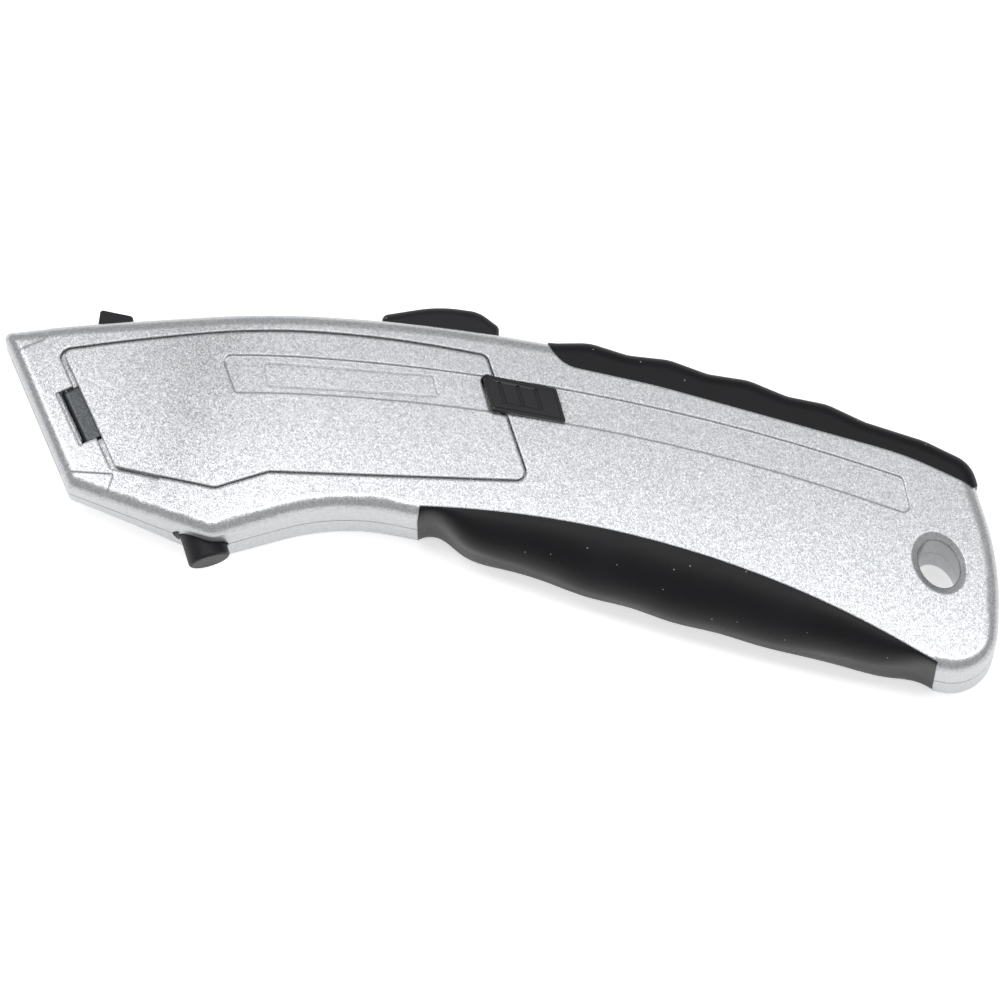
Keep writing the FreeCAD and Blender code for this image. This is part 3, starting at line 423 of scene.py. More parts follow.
@dataclass(frozen=True)
class Moulding(Finish):
    """Moulded plastic or rubber: fine grain, a broad drift of tone and specks of dust."""

    fine: float = 7000.0
    depth: float = 0.00002
    dust: float = 0.15
    dust_tone: Colour = (0.22, 0.22, 0.23)

    def material(self, effects: Effects) -> bpy.types.Material:
        """Builds the moulding.

        Args:
            effects: the shared groups.

        Returns:
            The material.
        """
        material, sheet, shader, place, normal = self.begin(effects)
        grain = sheet.add("ShaderNodeGroup", node_tree=effects.grain)
        specks = sheet.add("ShaderNodeGroup", node_tree=effects.specks)
        for key, value in {"Vector": place, "Fine": self.fine, "Broad": 90.0}.items():
            wire(sheet, value, grain.inputs[key])
        for key, value in {"Vector": place, "Share": self.dust}.items():
            wire(sheet, value, specks.inputs[key])
        colour = sheet.blend(grain.outputs["Drift"], self.dark, self.light)
        dusty = sheet.blend(specks.outputs["Mask"], colour, self.dust_tone)
        sheet.tree.links.new(dusty, shader.inputs["Base Color"])
        rough = sheet.remap(grain.outputs["Drift"], 0.0, 1.0, *self.roughness)
        sheet.tree.links.new(rough, shader.inputs["Roughness"])
        inputs = {"Height": grain.outputs["Height"], "Normal": normal, "Distance": self.depth, "Strength": 1.0}
        bump = sheet.add("ShaderNodeBump", inputs)
        sheet.tree.links.new(bump.outputs[0], shader.inputs["Normal"])
        return material


@dataclass(frozen=True)
class Steel(Finish):
    """Bare or plated metal with grinding lines."""

    lines: float = 3500.0
    turn: float = 0.0
    length: float = 30.0
    depth: float = 0.000008

    def material(self, effects: Effects) -> bpy.types.Material:
        """Builds the metal.

        Args:
            effects: the shared groups.

        Returns:
            The material.
        """
        material, sheet, shader, place, normal = self.begin(effects)
        lines = sheet.add("ShaderNodeGroup", node_tree=effects.brushing)
        grain = sheet.add("ShaderNodeGroup", node_tree=effects.grain)
        inputs = {"Vector": place, "Lines per metre": self.lines, "Turn": self.turn, "Length": self.length}
        for key, value in inputs.items():
            wire(sheet, value, lines.inputs[key])
        for key, value in {"Vector": place, "Fine": 2500.0, "Broad": 150.0}.items():
            wire(sheet, value, grain.inputs[key])
        mixed = sheet.maths("MULTIPLY", lines.outputs["Tone"], 0.5)
        tone = sheet.maths("MULTIPLY_ADD", grain.outputs["Drift"], 0.5, mixed)
        self.tint(sheet, shader, tone)
        inputs = {"Height": lines.outputs["Height"], "Normal": normal, "Distance": self.depth, "Strength": 1.0}
        bump = sheet.add("ShaderNodeBump", inputs)
        sheet.tree.links.new(bump.outputs[0], shader.inputs["Normal"])
        return material


def wire(sheet: NodeSheet, value: object, socket: bpy.types.NodeSocket) -> None:
    """Sets a socket to a value, or wires an output to it.

    Args:
        sheet: the sheet that holds both.
        value: a plain value or an output.
        socket: the input.
    """
    if isinstance(value, bpy.types.NodeSocket):
        sheet.tree.links.new(value, socket)
    else:
        socket.default_value = value


PAINT = FlakePaint("silver_flake_paint", (0.37, 0.38, 0.395), (0.56, 0.57, 0.585), (0.28, 0.34),
                   metallic=0.75, edge=0.0005)
# The door's paint carries painted shade: its surfaces lower than 14.3 mm, such as the recessed hinge tongue, are
# darkened to stand in for shade.
DOOR_PAINT_WITH_SHADE = replace(PAINT, name="door_flake_paint", painted_shade_below=0.0143)
GRIP_RUBBER = Moulding("grip_rubber", (0.003, 0.003, 0.004), (0.006, 0.006, 0.008), (0.42, 0.52),
                       specular=0.22, dust=0.5)
CONTROL_PLASTIC = Moulding("control_plastic", (0.006, 0.006, 0.008), (0.011, 0.011, 0.014), (0.42, 0.54),
                           specular=0.28, edge=0.0002, fine=9000.0, depth=0.00003, dust=0.03)
LATCH_PLASTIC = Moulding("latch_plastic", (0.005, 0.005, 0.007), (0.009, 0.009, 0.012), (0.28, 0.36),
                         specular=0.3, edge=0.00015, fine=11000.0, depth=0.00001, dust=0.02)
ZINC_PLATE = Steel("zinc_plated_steel", (0.46, 0.46, 0.45), (0.70, 0.69, 0.66), (0.28, 0.42), metallic=1.0)
SPRING_WIRE = Steel("spring_wire", (0.40, 0.40, 0.41), (0.62, 0.62, 0.62), (0.22, 0.34), metallic=1.0)
BLADE_STEEL = Steel("ground_blade_steel", (0.50, 0.51, 0.53), (0.72, 0.73, 0.75), (0.20, 0.34), metallic=1.0,
                    turn=-BLADE_TILT, length=4.0)
CAST_ZINC = Steel("bare_cast_zinc", (0.30, 0.31, 0.32), (0.48, 0.49, 0.50), (0.45, 0.62), metallic=0.9,
                  lines=900.0, length=1.5, depth=0.00002)


class Finishes:
    """The materials, one for each finish."""

    def __init__(self, effects: Effects) -> None:
        """Builds them all.

        Args:
            effects: the shared groups.
        """
        self.paint = PAINT.material(effects)
        self.door_paint_with_shade = DOOR_PAINT_WITH_SHADE.material(effects)
        self.rubber = GRIP_RUBBER.material(effects)
        self.plastic = CONTROL_PLASTIC.material(effects)
        self.latch = LATCH_PLASTIC.material(effects)
        self.zinc = ZINC_PLATE.material(effects)
        self.spring = SPRING_WIRE.material(effects)
        self.blade = BLADE_STEEL.material(effects)
        self.cast = CAST_ZINC.material(effects)


# ---------------------------------------------------------------- meshes


def settle(piece: bpy.types.Object, body: Body, nodes: Iterable[str] = ()) -> None:
    """Puts a finished piece on its body, in place of the design's nodes.

    Args:
        piece: the piece, at the origin.
        body: the body that it moves with.
        nodes: the design's nodes that it stands for.
    """
    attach(piece, body.value)
    if nodes:
        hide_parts(*nodes)
    log.info("%s: %d faces on %s", piece.name, len(piece.data.polygons), body.value)


def new_piece(name: str, mesh: bpy.types.Mesh, material: bpy.types.Material) -> bpy.types.Object:
    """A linked object of one mesh and one material.

    Args:
        name: the piece's name.
        mesh: its mesh, in the frame.
        material: its finish.

    Returns:
        The object.
    """
    mesh.materials.clear()
    mesh.materials.append(material)
    piece = bpy.data.objects.new(name, mesh)
    bpy.context.scene.collection.objects.link(piece)
    return piece


def merged(node: str) -> bmesh.types.BMesh:
    """A copy of a design node's triangles, joined along their shared corners.

    Args:
        node: the node's name.

    Returns:
        The joined mesh.
    """
    joined = bmesh.new()
    joined.from_mesh(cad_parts[node].data)
    bmesh.ops.remove_doubles(joined, verts=joined.verts, dist=0.5e-6)
    return joined


def islands(node: str) -> list[tuple[Vector, Vector]]:
    """Box of each separate solid of a node, in order of X.

    Args:
        node: the node's name.

    Returns:
        Lowest and highest corner of each.
    """
    joined = merged(node)
    waiting = set(joined.verts)
    boxes = []
    while waiting:
        edge = [waiting.pop()]
        points = []
        while edge:
            vertex = edge.pop()
            points.append(vertex.co.copy())
            for link in vertex.link_edges:
                other = link.other_vert(vertex)
                if other in waiting:
                    waiting.remove(other)
                    edge.append(other)
        low = Vector(min(p[i] for p in points) for i in range(3))
        high = Vector(max(p[i] for p in points) for i in range(3))
        boxes.append((low, high))
    joined.free()
    return sorted(boxes, key=lambda box: (round(box[0].x, 4), box[0].z))


def faired_copy(node: str, name: str, material: bpy.types.Material) -> bpy.types.Object:
    """A copy of a design node with its corners joined and its true surface normals kept.

    Args:
        node: the node's name.
        name: the piece's name.
        material: its finish.

    Returns:
        The piece, in the scene.
    """
    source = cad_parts[node].data
    joined = bmesh.new()
    joined.from_mesh(source)
    held = joined.loops.layers.float_vector.new("surface_normal")
    joined.faces.ensure_lookup_table()
    for face, polygon in zip(joined.faces, source.polygons):
        for corner, number in zip(face.loops, polygon.loop_indices):
            corner[held] = source.corner_normals[number].vector
    bmesh.ops.remove_doubles(joined, verts=joined.verts, dist=0.5e-6)
    mesh = bpy.data.meshes.new(name)
    joined.to_mesh(mesh)
    joined.free()
    mesh.shade_smooth()
    kept = mesh.attributes["surface_normal"]
    normals = [tuple(corner.vector) for corner in kept.data]
    mesh.attributes.remove(kept)
    mesh.normals_split_custom_set(normals)
    return new_piece(name, mesh, material)


def softened_copy(node: str, name: str, material: bpy.types.Material, soften: float,
                  crease: float = 28.0) -> bpy.types.Object:
    """A smooth-shaded copy of a design node with a small round worked into its sharp edges.

    Args:
        node: the node's name.
        name: the piece's name.
        material: its finish.
        soften: width of the round.
        crease: degrees past which an edge is sharp.

    Returns:
        The piece, in the scene.
    """
    joined = merged(node)
    mesh = bpy.data.meshes.new(name)
    joined.to_mesh(mesh)
    joined.free()
    mesh.shade_smooth()
    mesh.set_sharp_from_angle(angle=math.radians(crease))
    piece = new_piece(name, mesh, material)
    round_off = piece.modifiers.new("edge_round", "BEVEL")
    round_off.width = soften
    round_off.segments = 2
    round_off.limit_method = "ANGLE"
    round_off.angle_limit = math.radians(crease)
    weighted = piece.modifiers.new("flat_faces_stay_flat", "WEIGHTED_NORMAL")
    weighted.mode = "FACE_AREA"
    weighted.keep_sharp = True
    return piece


def frozen(piece: bpy.types.Object) -> bpy.types.Object:
    """Turns a piece's modifiers into its plain mesh.

    Args:
        piece: the piece.

    Returns:
        The same piece.
    """
    graph = bpy.context.evaluated_depsgraph_get()
    mesh = bpy.data.meshes.new_from_object(piece.evaluated_get(graph), depsgraph=graph)
    mesh.name = piece.name
    piece.modifiers.clear()
    piece.data = mesh
    return piece


def grown_from(tree: bpy.types.NodeTree, name: str, points: Sequence[Vector],
               inputs: dict[str, object]) -> bpy.types.Object:
    """A piece made by a Geometry Nodes tree over a few points.

    Args:
        tree: the tree.
        name: the piece's name.
        points: where its copies stand.
        inputs: the tree's named inputs.

    Returns:
        The piece, as a plain mesh.
    """
    mesh = bpy.data.meshes.new(name)
    mesh.from_pydata([tuple(p) for p in points], [], [])
    piece = bpy.data.objects.new(name, mesh)
    bpy.context.scene.collection.objects.link(piece)
    modifier = piece.modifiers.new(name, "NODES")
    modifier.node_group = tree
    for item in tree.interface.items_tree:
        if item.in_out == "INPUT" and item.name in inputs:
            modifier[item.identifier] = inputs[item.name]
    bpy.context.view_layer.update()
    return frozen(piece)


# ---------------------------------------------------------------- repeated hardware


class Hardware:
    """Geometry trees for screws, rivets, springs and blades, each built once."""

    def __init__(self) -> None:
        """Builds the trees."""
        self.screw = self._screw()
        self.rivet = self._rivet()
        self.spring = self._spring()
        self.stack = self._stack()

    @staticmethod
    def _end(sheet: NodeSheet, geometry: bpy.types.NodeSocket, given: bpy.types.Node,
             result: bpy.types.Node, smooth: float) -> None:
        """Realizes a tree's copies, shades them and gives them their finish.

        Args:
            sheet: the tree's sheet.
            geometry: what the tree made.
            given: its input node.
            result: its output node.
            smooth: radians under which an edge is smooth.
        """
        real = sheet.add("GeometryNodeRealizeInstances", {0: geometry})
        angle = sheet.add("GeometryNodeInputMeshEdgeAngle")
        flat = sheet.add("FunctionNodeCompare", {0: angle.outputs[0], 1: smooth}, data_type="FLOAT",
                         operation="LESS_THAN")
        shaded = sheet.add("GeometryNodeSetShadeSmooth", {0: real.outputs[0], 2: flat.outputs[0]}, domain="EDGE")
        faces = sheet.add("GeometryNodeSetShadeSmooth", {0: shaded.outputs[0]}, domain="FACE")
        finish = sheet.add("GeometryNodeSetMaterial", {0: faces.outputs[0],
                                                       "Material": given.outputs["Finish"]})
        sheet.tree.links.new(finish.outputs[0], result.inputs[0])

    @classmethod
    def _screw(cls) -> bpy.types.NodeTree:
        """Pan-head screws with hexagon sockets, heads down, one at each point.

        Returns:
            The tree.
        """
        takes = (Port("Seats", "Geometry"), Port("Head Radius"), Port("Head Height"), Port("Shank Radius"),
                 Port("Shank Length"), Port("Socket Radius"), Port("Finish", "Material"))
        sheet, given, result = new_group("body_screws_tree", "GeometryNodeTree", takes, (Port("Screws", "Geometry"),))
        head = sheet.add("GeometryNodeMeshCylinder", {"Vertices": 48, "Radius": given.outputs["Head Radius"],
                                                      "Depth": given.outputs["Head Height"]})
        rim_radius = sheet.maths("MULTIPLY", given.outputs["Head Radius"], 0.86)
        rim = sheet.add("GeometryNodeMeshCone", {"Vertices": 48, "Radius Top": given.outputs["Head Radius"],
                                                 "Radius Bottom": rim_radius,
                                                 "Depth": sheet.maths("MULTIPLY", given.outputs["Head Height"], 0.2)})
        half_head = sheet.maths("MULTIPLY", given.outputs["Head Height"], 0.5)
        cap_low = sheet.add("ShaderNodeCombineXYZ", {2: sheet.maths("MULTIPLY", given.outputs["Head Height"], -0.2)})
        cap = sheet.add("GeometryNodeTransform", {0: rim.outputs[0], "Translation": cap_low.outputs[0]})
        head_up = sheet.add("ShaderNodeCombineXYZ", {2: half_head})
        head_at = sheet.add("GeometryNodeTransform", {0: head.outputs[0], "Translation": head_up.outputs[0]})
        socket = sheet.add("GeometryNodeMeshCylinder", {"Vertices": 6, "Radius": given.outputs["Socket Radius"],
                                                        "Depth": sheet.maths("MULTIPLY", half_head, 3.0)})
        solid = sheet.add("GeometryNodeMeshBoolean", {"Mesh 2": head_at.outputs[0]}, operation="UNION")
        sheet.tree.links.new(cap.outputs[0], solid.inputs["Mesh 2"])
        bored = sheet.add("GeometryNodeMeshBoolean", {"Mesh 1": solid.outputs[0], "Mesh 2": socket.outputs[0]},
                          operation="DIFFERENCE")
        shank = sheet.add("GeometryNodeMeshCylinder", {"Vertices": 32, "Radius": given.outputs["Shank Radius"],
                                                       "Depth": given.outputs["Shank Length"]})
        reach = sheet.maths("MULTIPLY", given.outputs["Shank Length"], 0.5)
        above = sheet.add("ShaderNodeCombineXYZ", {2: sheet.maths("ADD", reach, given.outputs["Head Height"])})
        shank_at = sheet.add("GeometryNodeTransform", {0: shank.outputs[0], "Translation": above.outputs[0]})
        whole = sheet.add("GeometryNodeJoinGeometry", {0: bored.outputs[0]})
        sheet.tree.links.new(shank_at.outputs[0], whole.inputs[0])
        placed = sheet.add("GeometryNodeInstanceOnPoints", {"Points": given.outputs["Seats"],
                                                            "Instance": whole.outputs[0]})
        cls._end(sheet, placed.outputs[0], given, result, math.radians(30.0))
        return sheet.tree

    @classmethod
    def _rivet(cls) -> bpy.types.NodeTree:
        """Upright rivets with a low dome on top, one at each point.

        Returns:
            The tree.
        """
        takes = (Port("Seats", "Geometry"), Port("Radius"), Port("Length"), Port("Finish", "Material"))
        sheet, given, result = new_group("rivets_tree", "GeometryNodeTree", takes, (Port("Rivets", "Geometry"),))
        dome = sheet.maths("MULTIPLY", given.outputs["Radius"], 0.35)
        straight = sheet.maths("SUBTRACT", given.outputs["Length"], dome)
        shank = sheet.add("GeometryNodeMeshCylinder", {"Vertices": 32, "Radius": given.outputs["Radius"],
                                                       "Depth": straight})
        lift = sheet.add("ShaderNodeCombineXYZ", {2: sheet.maths("MULTIPLY", straight, 0.5)})
        shank_at = sheet.add("GeometryNodeTransform", {0: shank.outputs[0], "Translation": lift.outputs[0]})
        ball = sheet.add("GeometryNodeMeshUVSphere", {"Segments": 32, "Rings": 12,
                                                      "Radius": given.outputs["Radius"]})
        top = sheet.add("ShaderNodeCombineXYZ", {2: straight})
        low = sheet.add("GeometryNodeTransform", {0: ball.outputs[0], "Translation": top.outputs[0],
                                                  "Scale": (1.0, 1.0, 0.35)})
        solid = sheet.add("GeometryNodeMeshBoolean", {"Mesh 2": shank_at.outputs[0]}, operation="UNION")
        sheet.tree.links.new(low.outputs[0], solid.inputs["Mesh 2"])
        placed = sheet.add("GeometryNodeInstanceOnPoints", {"Points": given.outputs["Seats"],
                                                            "Instance": solid.outputs[0]})
        cls._end(sheet, placed.outputs[0], given, result, math.radians(30.0))
        return sheet.tree

    @classmethod
    def _spring(cls) -> bpy.types.NodeTree:
        """A compression spring at each point, its axis turned out of Z.

        Returns:
            The tree.
        """
        takes = (Port("Seats", "Geometry"), Port("Coil Radius"), Port("Wire Radius"), Port("Turns"),
                 Port("Length"), Port("Turn", "Vector"), Port("Finish", "Material"))
        sheet, given, result = new_group("springs_tree", "GeometryNodeTree", takes, (Port("Springs", "Geometry"),))
        line = sheet.add("GeometryNodeCurveSpiral", {"Resolution": 40, "Rotations": given.outputs["Turns"],
                                                     "Start Radius": given.outputs["Coil Radius"],
                                                     "End Radius": given.outputs["Coil Radius"],
                                                     "Height": given.outputs["Length"]})
        section = sheet.add("GeometryNodeCurvePrimitiveCircle", {"Resolution": 12,
                                                                 "Radius": given.outputs["Wire Radius"]})
        tube = sheet.add("GeometryNodeCurveToMesh", {"Curve": line.outputs[0], "Profile Curve": section.outputs[0],
                                                     "Fill Caps": True})
        down = sheet.add("ShaderNodeCombineXYZ", {2: sheet.maths("MULTIPLY", given.outputs["Length"], -0.5)})
        centred = sheet.add("GeometryNodeTransform", {0: tube.outputs[0], "Translation": down.outputs[0]})
        turned = sheet.add("GeometryNodeTransform", {0: centred.outputs[0], "Rotation": given.outputs["Turn"]})
        placed = sheet.add("GeometryNodeInstanceOnPoints", {"Points": given.outputs["Seats"],
                                                            "Instance": turned.outputs[0]})
        cls._end(sheet, placed.outputs[0], given, result, math.radians(50.0))
        return sheet.tree

    @classmethod
    def _stack(cls) -> bpy.types.NodeTree:
        """Copies of one blade, one on the next.

        Returns:
            The tree.
        """
        takes = (Port("Seats", "Geometry"), Port("Blade", "Object"), Port("Count", "Int"), Port("Step"),
                 Port("Finish", "Material"))
        sheet, given, result = new_group("blade_stack_tree", "GeometryNodeTree", takes,
                                         (Port("Blades", "Geometry"),))
        step = sheet.add("ShaderNodeCombineXYZ", {2: given.outputs["Step"]})
        line = sheet.add("GeometryNodeMeshLine", {"Count": given.outputs["Count"], "Offset": step.outputs[0]})
        blade = sheet.add("GeometryNodeObjectInfo", {"Object": given.outputs["Blade"]})
        placed = sheet.add("GeometryNodeInstanceOnPoints", {"Points": line.outputs[0],
                                                            "Instance": blade.outputs["Geometry"]})
        cls._end(sheet, placed.outputs[0], given, result, math.radians(1.0))
        return sheet.tree


# ---------------------------------------------------------------- sub-assemblies


@dataclass
class Castings:
    """The two painted shells and the side door."""

    def build(self, finishes: Finishes) -> None:
        """Builds and dresses the castings.

        Args:
            finishes: the materials.
        """
        castings = (("lower_shell", Body.SHELLS, finishes.paint), ("upper_shell", Body.SHELLS, finishes.paint),
                    ("side_door", Body.DOOR, finishes.door_paint_with_shade))
        for node, body, finish in castings:
            piece = faired_copy(node, node + "_casting", finish)
            settle(piece, body, [node])


@dataclass
class Grips:
    """The rubber grips of the spine and the belly."""

    def build(self, finishes: Finishes) -> None:
        """Builds and dresses the grips.

        Args:
            finishes: the materials.
        """
        for node in ("upper_grip", "lower_grip"):
            piece = faired_copy(node, node + "_rubber", finishes.rubber)
            settle(piece, Body.SHELLS, [node])


@dataclass
class Controls:
    """Moulded pieces that a finger moves: slider, latch, button and release tab."""

    soften: float = 0.12 * MM
    latch_soften: float = 0.08 * MM
    pieces: tuple = field(default=(
        ("thumb_slider", Body.SLIDER), ("change_button", Body.BUTTON), ("blade_release_tab", Body.TAB),
    ))

    def build(self, finishes: Finishes) -> None:
        """Builds and dresses the controls.

        Args:
            finishes: the materials.
        """
        for node, body in self.pieces:
            piece = softened_copy(node, node + "_moulding", finishes.plastic, self.soften)
            settle(piece, body, [node])
        latch = softened_copy("latch_pad", "latch_pad_moulding", finishes.latch, self.latch_soften)
        settle(latch, Body.LATCH, ["latch_pad"])


@dataclass
class BladeShape:
    """A trapezoid utility blade with a ground edge and two notches."""

    length: float = 61.0 * MM
    spine: float = 33.0 * MM
    height: float = 19.0 * MM
    gauge: float = 0.63 * MM
    ground: float = 2.2 * MM
    notch_half: float = 1.4 * MM
    notch_depth: float = 2.4 * MM
    notch_apart: float = 3.0 * MM
    notch_steps: int = 6

    def outline(self) -> list[Vector]:
        """Points of the back and the sides above the ground edge, from the front round to the rear.

        Returns:
            The points, with the cutting edge along X from 0 and the height along Y.
        """
        side = (self.length - self.spine) / 2
        lean = side * self.ground / self.height
        middle = self.length / 2
        points = [Vector((lean, self.ground, 0)), Vector((side, self.height, 0))]
        for centre in (middle - self.notch_apart, middle + self.notch_apart):
            points.append(Vector((centre - self.notch_half, self.height, 0)))
            for i in range(self.notch_steps + 1):
                angle = math.pi * (1 + i / self.notch_steps)
                across = self.notch_half * math.cos(angle)
                down = self.notch_depth - self.notch_half * (1 + math.sin(angle))
                points.append(Vector((centre + across, self.height - down, 0)))
            points.append(Vector((centre + self.notch_half, self.height, 0)))
        points += [Vector((self.length - side, self.height, 0)), Vector((self.length - lean, self.ground, 0))]
        return points

    def mesh(self, name: str, place: Matrix) -> bpy.types.Mesh:
        """The blade's mesh, its mid-plane on the place's XY plane.

        Args:
            name: the mesh's name.
            place: where its front point and cutting edge go.

        Returns:
            The mesh.
        """
        ring = self.outline()
        half = self.gauge / 2
        points = [p + Vector((0, 0, z)) for z in (-half, half) for p in ring]
        count = len(ring)
        tips = [Vector((0, 0, 0)), Vector((self.length, 0, 0))]
        faces = [list(range(count)), list(range(2 * count - 1, count - 1, -1))]
        faces += [[i + 1, i, i + count, i + count + 1] for i in range(count - 1)]
        front, rear = 2 * count, 2 * count + 1
        faces += [[0, front, rear, count - 1][::-1], [count, front, rear, 2 * count - 1]]
        faces += [[0, front, count][::1], [count - 1, rear, 2 * count - 1][::-1]]
        mesh = bpy.data.meshes.new(name)
        mesh.from_pydata([tuple(place @ p) for p in points + tips], [], faces)
        shape = bmesh.new()
        shape.from_mesh(mesh)
        bmesh.ops.remove_doubles(shape, verts=shape.verts, dist=1e-6)
        bmesh.ops.recalc_face_normals(shape, faces=shape.faces)
        shape.to_mesh(mesh)
        shape.free()
        return mesh


@dataclass
class Works:
    """The steel and cast pieces inside: carriage, blades, springs, screws, pins and rails."""

    blade: BladeShape = field(default_factory=BladeShape)
    screw_head: float = 2.3 * MM
    screw_head_height: float = 1.6 * MM
    screw_shank: float = 1.25 * MM
    socket: float = 1.15 * MM
    spare_step: float = 0.65 * MM

    def build(self, finishes: Finishes, hardware: Hardware) -> None:
        """Builds and dresses the works.

        Args:
            finishes: the materials.
            hardware: the geometry trees.
        """
        self._screws(finishes, hardware)
        self._rivets(finishes, hardware)
        self._springs(finishes, hardware)
        self._blades(finishes, hardware)
        self._plain(finishes)

    def _screws(self, finishes: Finishes, hardware: Hardware) -> None:
        """Three body screws.

        Args:
            finishes: the materials.
            hardware: the geometry trees.
        """
        boxes = islands("body_screws")
        seats = [Vector(((low.x + high.x) / 2, (low.y + high.y) / 2, low.z)) for low, high in boxes]
        shank = min(high.z - low.z for low, high in boxes) - self.screw_head_height
        inputs = {"Head Radius": self.screw_head, "Head Height": self.screw_head_height,
                  "Shank Radius": self.screw_shank, "Shank Length": shank, "Socket Radius": self.socket,
                  "Finish": finishes.zinc}
        piece = grown_from(hardware.screw, "body_screws_steel", seats, inputs)
        settle(piece, Body.SHELLS, ["body_screws"])

    def _rivets(self, finishes: Finishes, hardware: Hardware) -> None:
        """Two rivets of the blade carriage.

        Args:
            finishes: the materials.
            hardware: the geometry trees.
        """
        boxes = islands("carrier_rivets")
        seats = [Vector(((low.x + high.x) / 2, (low.y + high.y) / 2, low.z)) for low, high in boxes]
        low, high = boxes[0]
        inputs = {"Radius": (high.x - low.x) / 2, "Length": high.z - low.z, "Finish": finishes.zinc}
        piece = grown_from(hardware.rivet, "carrier_rivets_steel", seats, inputs)
        settle(piece, Body.CARRIAGE, ["carrier_rivets"])

    def _springs(self, finishes: Finishes, hardware: Hardware) -> None:
        """The three coil springs, each as large as the design's coil.

        Args:
            finishes: the materials.
            hardware: the geometry trees.
        """
        quarter = math.pi / 2
        springs = (("slider_spring", Body.CARRIAGE, 0.2, 4.0, 1.0, BLADE_TILT),
                   ("button_spring", Body.SHELLS, 0.2, 4.0, 2.3, math.radians(30.0)),
                   ("tab_spring", Body.SHELLS, 0.12, 3.0, 0.8, BLADE_TILT))
        for node, body, wire_mm, turns, coil_mm, lean in springs:
            low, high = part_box(node)
            inner = 2 * coil_mm * MM * abs(math.sin(lean))
            length = (high.y - low.y - inner - 2 * wire_mm * MM) / math.cos(lean)
            inputs = {"Coil Radius": coil_mm * MM, "Wire Radius": wire_mm * MM, "Turns": turns,
                      "Length": length, "Turn": Euler((-quarter, 0.0, lean)), "Finish": finishes.spring}
            piece = grown_from(hardware.spring, node + "_wire", [(low + high) / 2], inputs)
            settle(piece, body, [node])

    def _blades(self, finishes: Finishes, hardware: Hardware) -> None:
        """The blade in the carriage and the stack of spares.

        Args:
            finishes: the materials.
            hardware: the geometry trees.
        """
        turn = Matrix.Rotation(BLADE_TILT, 4, "Z")
        low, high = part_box("blade")
        front = self._front(low, high)
        middle = Matrix.Translation(Vector((front.x, front.y, (low.z + high.z) / 2)))
        piece = new_piece("blade_ground", self.blade.mesh("blade_ground", middle @ turn), finishes.blade)
        settle(piece, Body.CARRIAGE, ["blade"])
        low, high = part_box("spare_blades")
        front = self._front(low, high)
        first = Matrix.Translation(Vector((front.x, front.y, low.z + self.blade.gauge / 2)))
        pattern = new_piece("spare_pattern", self.blade.mesh("spare_pattern", first @ turn), finishes.blade)
        count = len(islands("spare_blades"))
        inputs = {"Blade": pattern, "Count": count, "Step": self.spare_step, "Finish": finishes.blade}
        piece = grown_from(hardware.stack, "spare_blades_ground", [Vector()], inputs)
        bpy.data.objects.remove(pattern)
        settle(piece, Body.SHELLS, ["spare_blades"])

    def _front(self, low: Vector, high: Vector) -> Vector:
        """Front point of a blade's cutting edge, from its box.

        Args:
            low: the box's lowest corner.
            high: the box's highest corner; not used.

        Returns:
            The point, at the box's lowest height.
        """
        return Vector((low.x, low.y, low.z))

    @staticmethod
    def _plain(finishes: Finishes) -> None:
        """Design nodes that are shown as they are, with their finish.

        Args:
            finishes: the materials.
        """
        dressed = {
            finishes.zinc: ("nose_wear_plate", "magazine_tray", "door_hinge_pin", "tab_pin", "latch_plate",
                            "button_plunger", "blade_retainer"),
            finishes.spring: ("door_catch_spring", "latch_detent_spring"),
            finishes.plastic: ("detent_rail", "door_pad"),
            finishes.cast: ("blade_carrier",),
        }
        for material, nodes in dressed.items():
            for node in nodes:
                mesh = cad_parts[node].data
                mesh.materials.clear()
                mesh.materials.append(material)
                log.info("%s: dressed in %s", node, material.name)


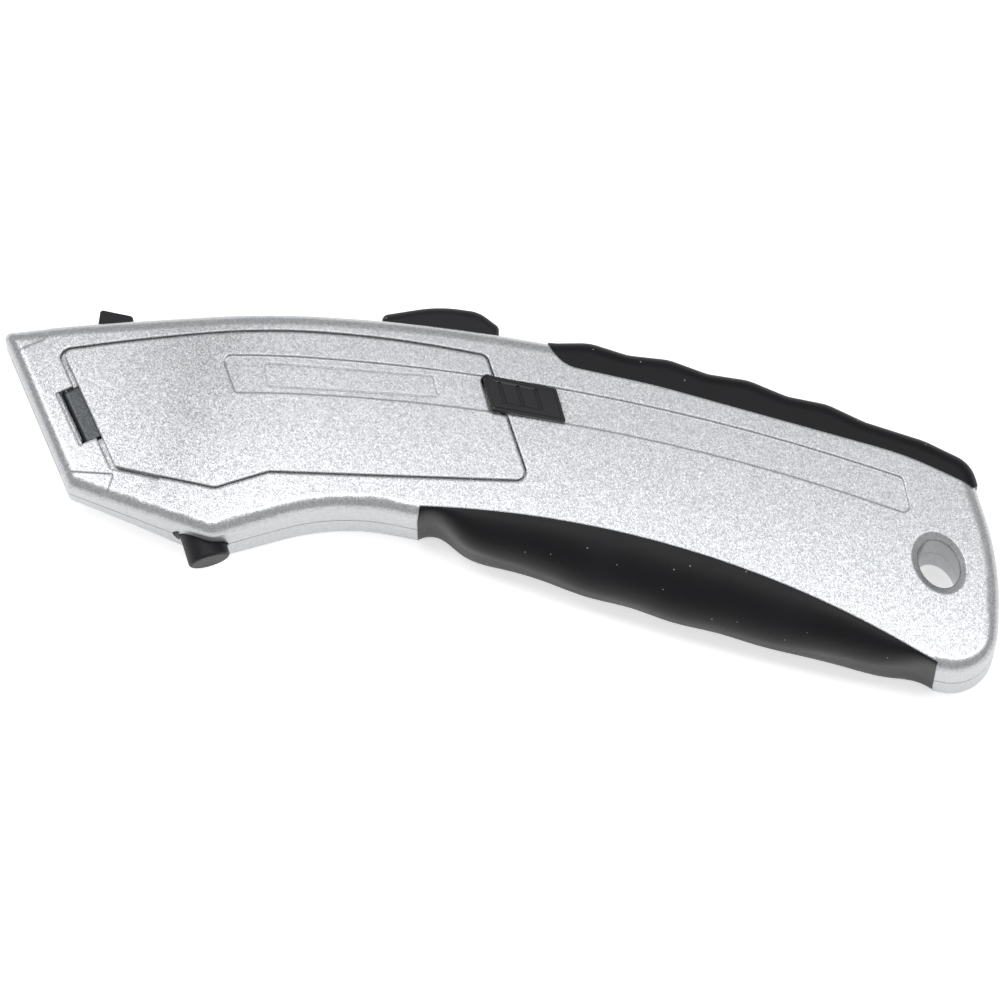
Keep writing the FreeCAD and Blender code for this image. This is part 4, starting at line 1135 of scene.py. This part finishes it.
@dataclass
class Studio:
    """Camera, soft lights and a pale floor."""

    azimuth: float = 13.0
    elevation: float = 75.0
    distance: float = 1.5
    lens: float = 315.8
    floor_half: float = 3.0
    surround: float = 0.55
    floor_glow: float = 0.5

    def build(self) -> None:
        """Builds the studio round the knife."""
        scene = bpy.context.scene
        scene.view_settings.view_transform = "Standard"
        centre = Vector((0.0, 0.0, (DESIGN_BOX[0].z + DESIGN_BOX[1].z) / 2))
        azimuth, elevation = math.radians(self.azimuth), math.radians(self.elevation)
        back = Vector((math.sin(azimuth) * math.cos(elevation), -math.cos(azimuth) * math.cos(elevation),
                       math.sin(elevation)))
        lens = bpy.data.cameras.new("camera")
        lens.lens = self.lens
        lens.clip_start, lens.clip_end = 0.05, 20.0
        camera = bpy.data.objects.new("camera", lens)
        camera.location = centre + back * self.distance
        camera.rotation_euler = (math.pi / 2 - elevation, 0.0, azimuth)
        scene.collection.objects.link(camera)
        scene.camera = camera
        self._surround(scene)
        self._floor()
        self._softbox("overhead", Vector((0.0, 0.20, 0.75)), Vector((0.0, 0.0, 0.0)), (0.6, 0.3), 0.3)
        self._softbox("belly_glow", Vector((0.0, 0.008, 0.20)), Vector((0.0, 0.008, 0.0)), (0.40, 0.04), 0.26)

    def _surround(self, scene: bpy.types.Scene) -> None:
        """A plain pale world.

        Args:
            scene: the scene.
        """
        world = bpy.data.worlds.new("surround")
        world.use_nodes = True
        ground = world.node_tree.nodes["Background"]
        ground.inputs["Color"].default_value = (1.0, 1.0, 1.0, 1.0)
        ground.inputs["Strength"].default_value = self.surround
        scene.world = world

    def _floor(self) -> None:
        """A plain pale floor under the back face."""
        half = self.floor_half
        low = DESIGN_BOX[0].z
        mesh = bpy.data.meshes.new("floor")
        corners = [(-half, -half, low), (half, -half, low), (half, half, low), (-half, half, low)]
        mesh.from_pydata(corners, [], [(0, 1, 2, 3)])
        material = bpy.data.materials.new("pale_floor")
        material.use_nodes = True
        shader = material.node_tree.nodes["Principled BSDF"]
        shader.inputs["Base Color"].default_value = (0.97, 0.97, 0.97, 1.0)
        shader.inputs["Roughness"].default_value = 0.9
        shader.inputs["Emission Color"].default_value = (1.0, 1.0, 1.0, 1.0)
        shader.inputs["Emission Strength"].default_value = self.floor_glow
        new_piece("floor", mesh, material)

    @staticmethod
    def _softbox(name: str, place: Vector, aim: Vector, size: tuple[float, float], power: float) -> None:
        """An oblong soft light.

        Args:
            name: the light's name.
            place: where it stands.
            aim: the point it faces.
            size: its length along X and its width.
            power: its power in watts.
        """
        lamp = bpy.data.lights.new(name, "AREA")
        lamp.shape = "RECTANGLE"
        lamp.size, lamp.size_y = size
        lamp.energy = power
        light = bpy.data.objects.new(name, lamp)
        light.visible_camera = False
        light.location = place
        light.rotation_euler = (aim - place).to_track_quat("-Z", "Y").to_euler()
        bpy.context.scene.collection.objects.link(light)


def main() -> None:
    """Builds the finishes, the pieces and the studio."""
    logging.basicConfig(level=logging.INFO, format="%(name)s: %(message)s")
    finishes = Finishes(Effects())
    hardware = Hardware()
    Castings().build(finishes)
    Grips().build(finishes)
    Controls().build(finishes)
    Works().build(finishes, hardware)
    Studio().build()


if __name__ == "__main__":
    main()
